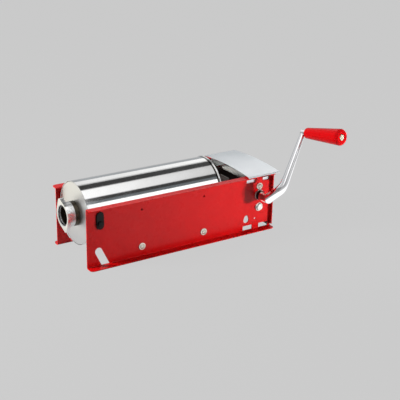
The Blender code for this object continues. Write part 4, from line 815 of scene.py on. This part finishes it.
@dataclass
class OutletRingNut:
    """The two-winged ring nut on the neck."""

    fitter: Fitter
    bore: float = 24.3 * MM
    lip_bore: float = 22.0 * MM
    lip: float = 3.5 * MM
    barrel: float = 27.0 * MM
    chamfer: float = 1.3 * MM
    edge: float = 0.9 * MM
    ring_step: float = 0.5 * MM
    wing_reach: float = 37.0 * MM
    wing_tip: float = 8.0 * MM
    wing_thickness: float = 8.0 * MM
    wing_setback: float = 0.01 * MM
    wing_turn: float = 23.4
    steps: int = 112

    def wing_outline(self) -> Profile:
        """Return the round ring's outline with its two wings."""
        tip_centre = self.wing_reach - self.wing_tip
        ring = self.barrel + self.ring_step
        spread = math.degrees(math.acos((ring - self.wing_tip) / tip_centre))
        points: Profile = []
        for turn in (self.wing_turn, self.wing_turn + 180.0):
            facing = math.radians(turn)
            tip = (tip_centre * math.cos(facing), tip_centre * math.sin(facing))
            points += arc(tip, self.wing_tip, turn - spread, turn + spread, 14)
            points += arc((0.0, 0.0), ring, turn + spread, turn + 180.0 - spread, 16)
        return points

    def build(self) -> None:
        """Join the turned barrel and the wings, round the edges and dress the nut."""
        low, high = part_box("outlet_ring_nut")
        centre = middle("outlet_ring_nut")
        length = high.x - low.x
        place = end_place("outlet_ring_nut", End.REAR)
        profile = [(self.bore, 0.0), (self.barrel, 0.0), (self.barrel, length),
                   (self.lip_bore + self.chamfer, length), (self.lip_bore, length - self.chamfer),
                   (self.lip_bore, length - self.lip), (self.bore, length - self.lip),
                   (self.bore, 0.0)]
        nut = turned("winged_ring_nut", profile, place, self.steps)
        front = Matrix.Translation((low.x + self.wing_setback, centre.y, centre.z))
        upright = Matrix(((0, 0, 1), (0, 1, 0), (1, 0, 0))).to_4x4()
        wings = plate("wing_blank", self.wing_outline(), front @ upright, self.wing_thickness)
        inside = self.barrel - MM
        bore = turned("wing_bore", [(0.0, -MM), (inside, -MM), (inside, length + MM),
                                    (0.0, length + MM)], place, self.steps)
        combine(wings, bore, Combine.CUT)
        combine(nut, wings, Combine.JOIN)
        soften(nut, self.edge, 3, 46.0)
        self.fitter.hang(nut, Finish.NUT_STEEL, "ring_nut", "outlet_ring_nut")


@dataclass
class PistonGroup:
    """The piston with its seal, nut and air valve, and the rack behind it."""

    fitter: Fitter

    def build(self) -> None:
        """Model each piece from its node with its own rounding, and dress it."""
        rows = (("piston_disc", "piston", 0.6 * MM, Finish.DARK_NYLON_AND_SHADE, "piston_group"),
                ("piston_seal_ring", "piston_seal", 0.8 * MM, Finish.SILICONE, "piston_group"),
                ("piston_lock_nut", "piston_nut", 0.6 * MM, Finish.POLISHED_STEEL,
                 "piston_group"),
                ("rack_bar", "rack", 0.18 * MM, Finish.GEAR_STEEL, "piston_group"),
                ("air_valve_plug", "air_valve", 0.4 * MM, Finish.SILICONE, "valve"))
        for row in rows:
            self.fitter.rework(*row)


@dataclass
class GearCase:
    """The cover, rack bushes, rack guide and shaft bushes."""

    fitter: Fitter
    cover_edge: float = 0.3 * MM
    bush_edge: float = 0.4 * MM
    bushes: tuple[str, ...] = ("main_bush_near", "main_bush_far", "slow_bush_near",
                               "slow_bush_far", "front_rack_bush", "rear_rack_bush",
                               "rack_guide")

    def build(self) -> None:
        """Model the cover and bushes from their nodes, and dress them."""
        self.fitter.rework("cover_sheet", "top_cover", self.cover_edge, Finish.COVER_STEEL,
                           "frame")
        for node in self.bushes:
            self.fitter.rework(f"{node}_nylon", node, self.bush_edge, Finish.WHITE_NYLON,
                               "frame")


@dataclass
class Fixings:
    """The button-head bolts with their washers, and the cradle nuts."""

    fitter: Fitter
    head: float = 5.6 * MM
    head_height: float = 3.6 * MM
    head_skirt: float = 0.5 * MM
    socket_across: float = 4.2 * MM
    socket_depth: float = 2.2 * MM
    washer: float = 8.0 * MM
    washer_thickness: float = 1.4 * MM
    washer_chamfer: float = 0.3 * MM
    shank: float = 2.9 * MM
    shank_chamfer: float = 0.5 * MM
    bolt_edge: float = 0.12 * MM
    nut_edge: float = 0.5 * MM
    rows: tuple[str, ...] = ("front", "rear", "guide")

    def model_bolt(self, length: float) -> Piece:
        """Model one bolt, its head's top at zero and its shank down the Z axis.

        Args:
            length: from the head's top to the shank's end.

        Returns:
            The bolt, to be copied to its places.
        """
        seat = -self.head_height
        under = seat - self.washer_thickness
        dome = arc((0.0, seat), 1.0, 80.0, 0.0, 8)
        profile = [(0.0, 0.0)]
        profile += [(self.head * x, seat + self.head_height * (z - seat)) for x, z in dome]
        profile += [(self.head + self.head_skirt, seat),
                    (self.washer - self.washer_chamfer, seat),
                    (self.washer, seat - self.washer_chamfer), (self.washer, under),
                    (self.shank, under), (self.shank, -length + self.shank_chamfer),
                    (self.shank - self.shank_chamfer, -length), (0.0, -length)]
        pattern = turned("bolt_pattern", profile, Matrix.Identity(4), 36)
        bpy.ops.object.select_all(action="DESELECT")
        bpy.ops.mesh.primitive_cylinder_add(vertices=6, radius=self.socket_across / math.sqrt(3),
                                            depth=2 * self.socket_depth)
        combine(pattern, bpy.context.active_object, Combine.CUT)
        return soften(pattern, self.bolt_edge, 2, 50.0)

    def build(self) -> None:
        """Model a bolt for each length, copy it to both sides and dress the nuts."""
        for row in self.rows:
            low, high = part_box(f"{row}_bolt_near")
            pattern = self.model_bolt(high.y - low.y)
            for side in Side:
                label = side.name.lower()
                node = f"{row}_bolt_{label}"
                low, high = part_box(node)
                tip = middle(node)
                tip.y = low.y if side is Side.NEAR else high.y
                place = axis_place(tip, Vector((0, side.value, 0)))
                self.fitter.hang(moved_copy(f"{node}_with_washer", pattern, place),
                                 Finish.ZINC_STEEL, "frame", node)
                if row != "guide":
                    nut = f"{row}_nut_{label}"
                    self.fitter.rework(f"{nut}_hexagon", nut, self.nut_edge,
                                       Finish.ZINC_STEEL, "frame")
            bpy.data.objects.remove(pattern, do_unlink=True)


@dataclass
class Drive:
    """The two shafts, the large gear, the collar, the clips and the socket's plug."""

    fitter: Fitter
    edge: float = 0.2 * MM

    def build(self) -> None:
        """Model each piece from its node with fine edges, and dress it."""
        rows = (("main_shaft_turned", "main_shaft", Finish.GEAR_STEEL, "drive"),
                ("large_gear_cut", "large_gear", Finish.GEAR_STEEL, "drive"),
                # The collar's black is partly its nylon and partly painted shade round the
                # crank's hub.
                ("shaft_collar_turned", "shaft_collar", Finish.BLACK_NYLON, "drive"),
                ("main_clip_spring", "main_shaft_clip", Finish.GEAR_STEEL, "drive"),
                ("slow_shaft_turned", "slow_shaft", Finish.GEAR_STEEL, "slow_drive"),
                ("slow_clip_spring", "slow_shaft_clip", Finish.GEAR_STEEL, "slow_drive"),
                ("slow_plug_moulded", "slow_socket_plug", Finish.WHITE_NYLON, "slow_drive"))
        for name, node, finish, body in rows:
            self.fitter.rework(name, node, self.edge, finish, body)


@dataclass
class Crank:
    """The chromed crank arm with its hub, square drive, eye and grip pin."""

    fitter: Fitter
    lean: float = 31.7
    shaft_end: float = 83.35 * MM
    seat_gap: float = 0.3 * MM
    hub_radius: float = 10.5 * MM
    hub_length: float = 30.0 * MM
    hub_rounding: float = 4.0 * MM
    square: float = 8.5 * MM
    square_length: float = 15.0 * MM
    square_root: float = 3.0 * MM
    arm_inset: float = 7.5 * MM
    elbow_rise: float = 36.8 * MM
    elbow_reach: float = 29.1 * MM
    bend_run: float = 14.0 * MM
    bend_steps: int = 14
    arm_length: float = 136.2 * MM
    arm_return: float = 10.6
    root_radius: float = 12.2 * MM
    elbow_radius: float = 11.2 * MM
    arm_radius: float = 9.5 * MM
    tip_radius: float = 6.1 * MM
    eye_radius: float = 6.6 * MM
    eye_back: float = 5.0 * MM
    eye_front: float = 11.5 * MM
    pin_radius: float = 3.6 * MM
    arm_edge: float = 0.5 * MM
    pin_edge: float = 0.4 * MM

    def plane(self) -> Matrix:
        """Return the crank's plane: its origin on the shaft, Z up along the arm's lean."""
        joint = next(row for row in frame["joints"] if row["name"] == "crank_turn")
        return (Matrix.Translation(joint["pos_m"])
                @ Matrix.Rotation(math.radians(self.lean), 4, "Y"))

    def path(self) -> list[tuple[Vector, Vector, float]]:
        """Return the arm's stations from hub to tip, in the crank's plane."""
        hub = Vector((0.0, self.arm_inset - self.shaft_end - self.seat_gap - self.hub_length,
                      0.0))
        elbow = hub + Vector((0.0, -self.elbow_reach, self.elbow_rise))
        turn = math.radians(self.arm_return)
        along = Vector((0.0, math.sin(turn), math.cos(turn)))
        tip = elbow + along * self.arm_length
        first = (elbow - hub).normalized()
        before, after = elbow - first * self.bend_run, elbow + along * self.bend_run
        stations = [(hub, first, self.root_radius)]
        for index in range(self.bend_steps + 1):
            share = index / self.bend_steps
            centre = (before * (1 - share) ** 2 + elbow * (2 * share * (1 - share))
                      + after * share ** 2)
            heading = first.lerp(along, share).normalized()
            ease = share ** 3 * (4 - 3 * share)
            radius = self.elbow_radius + (self.arm_radius - self.elbow_radius) * ease
            stations.append((centre, heading, radius))
        stations.append((tip, along, self.tip_radius))
        return stations

    def add_hub(self, arm: Piece, plane: Matrix) -> None:
        """Join the hub and its square drive to the arm.

        Args:
            arm: the arm.
            plane: the crank's plane.
        """
        near = plane @ axis_place(Vector((0, 0, 0)), Vector((0, -1, 0)))
        face = self.shaft_end + self.seat_gap
        end = face + self.hub_length
        corner = (self.hub_radius - self.hub_rounding, end - self.hub_rounding)
        profile = [(0.0, face), (self.hub_radius - MM, face), (self.hub_radius, face + MM)]
        profile += arc(corner, self.hub_rounding, 0.0, 90.0, 6) + [(0.0, end)]
        combine(arm, turned("hub_blank", profile, near, 64), Combine.JOIN)
        half = self.square / 2
        square = [(-half, -half), (half, -half), (half, half), (-half, half)]
        tail = near @ Matrix.Translation((0, 0, self.shaft_end - self.square_length))
        combine(arm, plate("stub_blank", square, tail, self.square_length + self.square_root),
                Combine.JOIN)

    def add_eye(self, arm: Piece, place: Matrix) -> None:
        """Join the eye to the arm's tip and bore it for the grip pin.

        Args:
            arm: the arm.
            place: the matrix at the tip whose Z axis is the eye's.
        """
        radius, back, front = self.eye_radius, self.eye_back, self.eye_front
        profile = [(0.0, -back), (radius - MM, -back), (radius, MM - back),
                   (radius, front - MM), (radius - MM, front), (0.0, front)]
        combine(arm, turned("eye_blank", profile, place, 48), Combine.JOIN)
        hole = self.pin_radius + self.seat_gap
        bore = [(0.0, -2 * back), (hole, -2 * back), (hole, 2 * front), (0.0, 2 * front)]
        combine(arm, turned("eye_bore", bore, place, 48), Combine.CUT)

    def build(self) -> tuple[Vector, Vector]:
        """Model the arm and its pin, and dress them.

        Returns:
            The grip axis: the eye's middle and the direction that the grip points in.
        """
        plane = self.plane()
        turn = plane.to_3x3()
        stations = [(plane @ centre, turn @ heading, radius)
                    for centre, heading, radius in self.path()]
        arm = swept("crank_arm_forged", stations)
        self.add_hub(arm, plane)
        tip = stations[-1][0]
        back = math.radians(self.arm_return)
        outward = turn @ Vector((0.0, -math.cos(back), math.sin(back)))
        self.add_eye(arm, axis_place(tip, outward))
        soften(arm, self.arm_edge, 2, 50.0)
        self.fitter.hang(arm, Finish.CHROME, "drive", "crank_arm")
        self.fitter.rework("grip_pin_turned", "grip_pin", self.pin_edge, Finish.CHROME, "drive")
        return tip, outward


@dataclass
class Grip:
    """The flared red grip and the cap in its end.

    The cap's crown is rows of radius and height over the grip's end, from the
    middle outwards.
    """

    fitter: Fitter
    start: float = 11.8 * MM
    length: float = 108.0 * MM
    bore: float = 3.9 * MM
    neck: float = 11.0 * MM
    neck_length: float = 2.0 * MM
    neck_edge: float = 0.3 * MM
    small: float = 12.3 * MM
    large: float = 18.6 * MM
    flare_steps: int = 8
    rounding: float = 6.0 * MM
    mouth_edge: float = 0.5 * MM
    pocket: float = 7.1 * MM
    pocket_depth: float = 11.6 * MM
    cap: float = 6.8 * MM
    cap_length: float = 8.0 * MM
    crown: tuple[Point, ...] = ((0.0, 1.2 * MM), (2.0 * MM, 1.15 * MM), (3.6 * MM, 1.0 * MM),
                                (4.8 * MM, 0.8 * MM), (5.9 * MM, 0.4 * MM),
                                (6.5 * MM, -0.1 * MM), (6.8 * MM, -0.6 * MM))

    def build(self, tip: Vector, outward: Vector) -> None:
        """Turn the grip and its cap on the crank's pin, and dress them.

        Args:
            tip: the middle of the crank's eye.
            outward: the direction that the grip points in.
        """
        place = axis_place(tip, outward)
        end = self.start + self.length
        shoulder = end - self.rounding
        waist = self.start + self.neck_length
        profile = [(self.bore, self.start), (self.neck - self.mouth_edge, self.start),
                   (self.neck, self.start + self.mouth_edge),
                   (self.small - self.neck_edge, waist - self.neck_edge),
                   (self.small, waist + self.neck_edge)]
        for index in range(1, self.flare_steps + 1):
            share = index / self.flare_steps
            profile.append((self.small + (self.large - self.small) * share,
                            waist + (shoulder - waist) * share))
        profile += arc((self.large - self.rounding, shoulder), self.rounding, 0.0, 90.0, 10)[1:]
        profile += [(self.pocket + self.mouth_edge, end), (self.pocket, end - self.mouth_edge),
                    (self.pocket, end - self.pocket_depth), (self.bore, end - self.pocket_depth),
                    (self.bore, self.start)]
        grip = soften(turned("grip_moulded", profile, place, 96))
        self.fitter.hang(grip, Finish.GRIP_RED, "handle", "grip")
        low = end - self.cap_length
        cap_profile = [(radius, end + rise) for radius, rise in self.crown]
        cap_profile += [(self.cap, low), (0.0, low)]
        cap = soften(turned("grip_cap_moulded", cap_profile, place, 64))
        self.fitter.hang(cap, Finish.CREAM_PLASTIC, "handle", "grip_cap")


@dataclass
class Card:
    """A glowing card of the studio that only reflections see.

    Its place is given from the cylinder's middle, its turn is about the X and Y
    axes, in degrees, and its span is where its level starts and ends to fade,
    along X from the cylinder's middle.
    """

    name: str
    place: Triple
    turn: Point
    sides: Point
    level: float
    fade: float = 1.0
    span: Point = (0.29, 1.39)
    tint: Colour = (1.0, 1.0, 1.0)


def ring_card(name: str, low: float, high: float, start: float, level: float,
              fade: float = 1.0, tint: Colour = (1.0, 1.0, 1.0), end: float = 4.0,
              distance: float = 1.5) -> Card:
    """Return a card that lies along the cylinder.

    Args:
        name: the card's name.
        low: its first edge's angle round the cylinder's axis, in degrees from the
            far side's horizon over the top.
        high: its other edge's angle.
        start: its front end, from the cylinder's middle.
        level: its glow at the front.
        fade: the share of it that is left at the rear.
        tint: its colour.
        end: its rear end.
        distance: how far its edges are from the cylinder's axis.

    Returns:
        The card.
    """
    rows = [(distance * math.cos(math.radians(turn)), distance * math.sin(math.radians(turn)))
            for turn in (low, high)]
    slope = math.degrees(math.atan2(rows[1][1] - rows[0][1], rows[1][0] - rows[0][0]))
    place = ((start + end) / 2, (rows[0][0] + rows[1][0]) / 2, (rows[0][1] + rows[1][1]) / 2)
    return Card(name, place, (slope, 0.0), (end - start, math.dist(*rows)), level, fade,
                tint=tint)


@dataclass
class Lamp:
    """A soft square lamp, its place and aim given from the cylinder's middle.

    Its beam is the whole angle that it shines into, in degrees.
    """

    name: str
    place: Triple
    aim: Triple
    size: float
    power: float
    beam: float = 180.0


@dataclass
class Studio:
    """The camera, the floor, the lamps and the reflection cards."""

    backdrop: float = 0.605
    ambient: float = 0.06
    floor_grey: float = 0.62
    floor_glow: float = 0.97
    floor_size: float = 60.0
    camera_offset: Triple = (-0.9878, -1.7192, 0.7635)
    yaw: float = 0.5858
    pitch: float = 0.3680
    roll: float = 0.0221
    lens: float = 86.10
    sensor: float = 36.0
    view_reach: float = 60.0
    lamps: list[Lamp] = field(default_factory=lambda: [
        Lamp("key_lamp", (0.95, -0.94, 0.12), (0.20, -0.07, -0.02), 0.14, 0.92, 44.0),
        Lamp("left_lamp", (-1.3, 0.36, 0.8), (0.3, -0.1, 0.05), 0.4, 35.0),
        Lamp("overhead_lamp", (0.3, 0.2, 1.9), (0.1, 0.0, 0.0), 1.4, 6.5),
    ])
    cards: list[Card] = field(default_factory=lambda: [
        ring_card("horizon_card", 4.0, 27.0, -0.9, 0.42, tint=(0.96, 1.0, 1.04)),
        ring_card("back_card", 28.0, 51.0, -0.9, 0.85, 1.45),
        ring_card("upper_dark_card", 57.0, 80.0, -0.9, 0.045, 1.6),
        ring_card("overhead_card", 83.0, 117.0, -0.9, 1.35, 0.30),
        ring_card("lower_dark_card", 118.5, 130.0, 0.448, 0.05),
        ring_card("teal_card", 130.0, 139.5, 0.448, 0.17, tint=(0.90, 1.0, 1.06)),
        ring_card("front_white_card", 118.5, 139.5, -0.9, 1.25, end=0.448),
        ring_card("near_white_card", 139.5, 158.0, 0.45, 1.4),
        ring_card("near_grey_card", 139.5, 172.0, -1.8, 0.42, end=0.45),
        Card("left_dark_card", (-1.5, 0.7, 0.5), (0.0, 90.0), (1.19, 3.6), 0.25),
        Card("right_dark_card", (1.9, -1.1, 0.3), (0.0, 90.0), (0.78, 1.2), 0.14),
        Card("right_white_card", (2.6, 0.7, 0.7), (0.0, 90.0), (1.2, 1.8), 1.2),
        Card("near_floor_card", (0.3, -0.50, -0.097), (0.0, 0.0), (1.8, 0.8), 0.15, 8.0,
             (-0.22, 0.02)),
        Card("far_floor_card", (-0.78, 0.66, -0.097), (0.0, 0.0), (1.04, 1.08), 1.0,
             tint=(1.0, 0.98, 0.88)),
    ])

    def __post_init__(self) -> None:
        """Find the cylinder's middle, from which all places are given."""
        self.centre = middle("cylinder_tube")

    def build(self) -> None:
        """Set up the whole studio."""
        self.set_camera()
        self.set_world()
        self.lay_floor()
        for lamp in self.lamps:
            self.hang_lamp(lamp)
        for card in self.cards:
            self.hang_card(card)

    def set_camera(self) -> None:
        """Stand the camera where the photograph was taken from."""
        forward = Vector((math.sin(self.yaw) * math.cos(self.pitch),
                          math.cos(self.yaw) * math.cos(self.pitch), -math.sin(self.pitch)))
        level = Vector((math.cos(self.yaw), -math.sin(self.yaw), 0.0))
        above = level.cross(forward)
        cosine, sine = math.cos(self.roll), math.sin(self.roll)
        right = level * cosine + above * sine
        up = above * cosine - level * sine
        data = bpy.data.cameras.new("photograph_camera")
        data.sensor_width = self.sensor
        data.lens = self.lens
        data.clip_end = self.view_reach
        camera = bpy.data.objects.new("photograph_camera", data)
        bpy.context.scene.collection.objects.link(camera)
        turn = Matrix((right, up, -forward)).transposed().to_4x4()
        place = self.centre + Vector(self.camera_offset)
        camera.matrix_world = Matrix.Translation(place) @ turn
        bpy.context.scene.camera = camera
        bpy.context.scene.view_settings.view_transform = "Standard"

    def set_world(self) -> None:
        """Light the scene evenly and show the backdrop's grey to the camera."""
        world = bpy.data.worlds.new("plain_grey")
        bpy.context.scene.world = world
        world.use_nodes = True
        bench = NodeBench(world.node_tree)
        ambient = bench.tree.nodes["Background"]
        bench.fill(ambient, {"Color": (1.0, 1.0, 1.0, 1.0), "Strength": self.ambient})
        shown = bench.add("ShaderNodeBackground", {"Color": (self.backdrop,) * 3 + (1.0,)})
        bench.show_mix("World Output", bench.ray_share(), ambient, shown)

    def lay_floor(self) -> None:
        """Lay a wide pale floor that keeps a faint shadow of the machine."""
        bpy.ops.object.select_all(action="DESELECT")
        bpy.ops.mesh.primitive_grid_add(x_subdivisions=4, y_subdivisions=4,
                                        size=self.floor_size)
        floor = bpy.context.active_object
        floor.name = "studio_floor"
        bench = MaterialBench("pale_floor")
        matt = bench.add("ShaderNodeBsdfDiffuse", {"Color": (self.floor_grey,) * 3 + (1.0,)})
        glow = bench.add("ShaderNodeEmission", {"Color": (self.backdrop,) * 3 + (1.0,)})
        share = bench.reckon("MULTIPLY", bench.ray_share(), self.floor_glow)
        bench.show_mix("Material Output", share, matt, glow)
        floor.data.materials.append(bench.material)

    def hang_lamp(self, lamp: Lamp) -> None:
        """Hang one lamp, whose own square no reflection shows.

        Args:
            lamp: its place, aim, size, power and beam.
        """
        data = bpy.data.lights.new(lamp.name, "AREA")
        data.shape = "SQUARE"
        data.size = lamp.size
        data.energy = lamp.power
        data.spread = math.radians(lamp.beam)
        piece = bpy.data.objects.new(lamp.name, data)
        bpy.context.scene.collection.objects.link(piece)
        look = Vector(lamp.aim) - Vector(lamp.place)
        piece.matrix_world = (Matrix.Translation(self.centre + Vector(lamp.place))
                              @ look.to_track_quat("-Z", "Y").to_matrix().to_4x4())
        piece.visible_glossy = False

    def hang_card(self, card: Card) -> None:
        """Hang one card that only glossy rays see.

        Args:
            card: its place, turn, sides and glow.
        """
        bpy.ops.object.select_all(action="DESELECT")
        bpy.ops.mesh.primitive_grid_add(
            x_subdivisions=8, y_subdivisions=2, size=1.0,
            location=self.centre + Vector(card.place),
            rotation=(math.radians(card.turn[0]), math.radians(card.turn[1]), 0.0))
        piece = bpy.context.active_object
        piece.name = card.name
        piece.scale = (*card.sides, 1.0)
        bpy.ops.object.transform_apply(location=True, rotation=True, scale=True)
        bench = MaterialBench(f"{card.name}_glow")
        start, end = (self.centre.x + place for place in card.span)
        level = bench.span(bench.axes()[0], card.level, card.level * card.fade, start, end)
        glow = bench.add("ShaderNodeEmission", {"Strength": level, "Color": (*card.tint, 1.0)})
        bench.fill(bench.tree.nodes["Material Output"], {"Surface": glow.outputs[0]})
        piece.data.materials.append(bench.material)
        for ray in ("camera", "diffuse", "shadow", "transmission"):
            setattr(piece, f"visible_{ray}", False)


def main() -> None:
    """Build every sub-assembly, then the studio round it."""
    logging.basicConfig(level=logging.INFO, format="%(message)s")
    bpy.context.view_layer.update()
    fitter = Fitter()
    for assembly in (SheetWork, MeatCylinder, OutletRingNut, PistonGroup, GearCase, Fixings,
                     Drive):
        assembly(fitter).build()
    tip, outward = Crank(fitter).build()
    Grip(fitter).build(tip, outward)
    Studio().build()


if __name__ == "__main__":
    main()
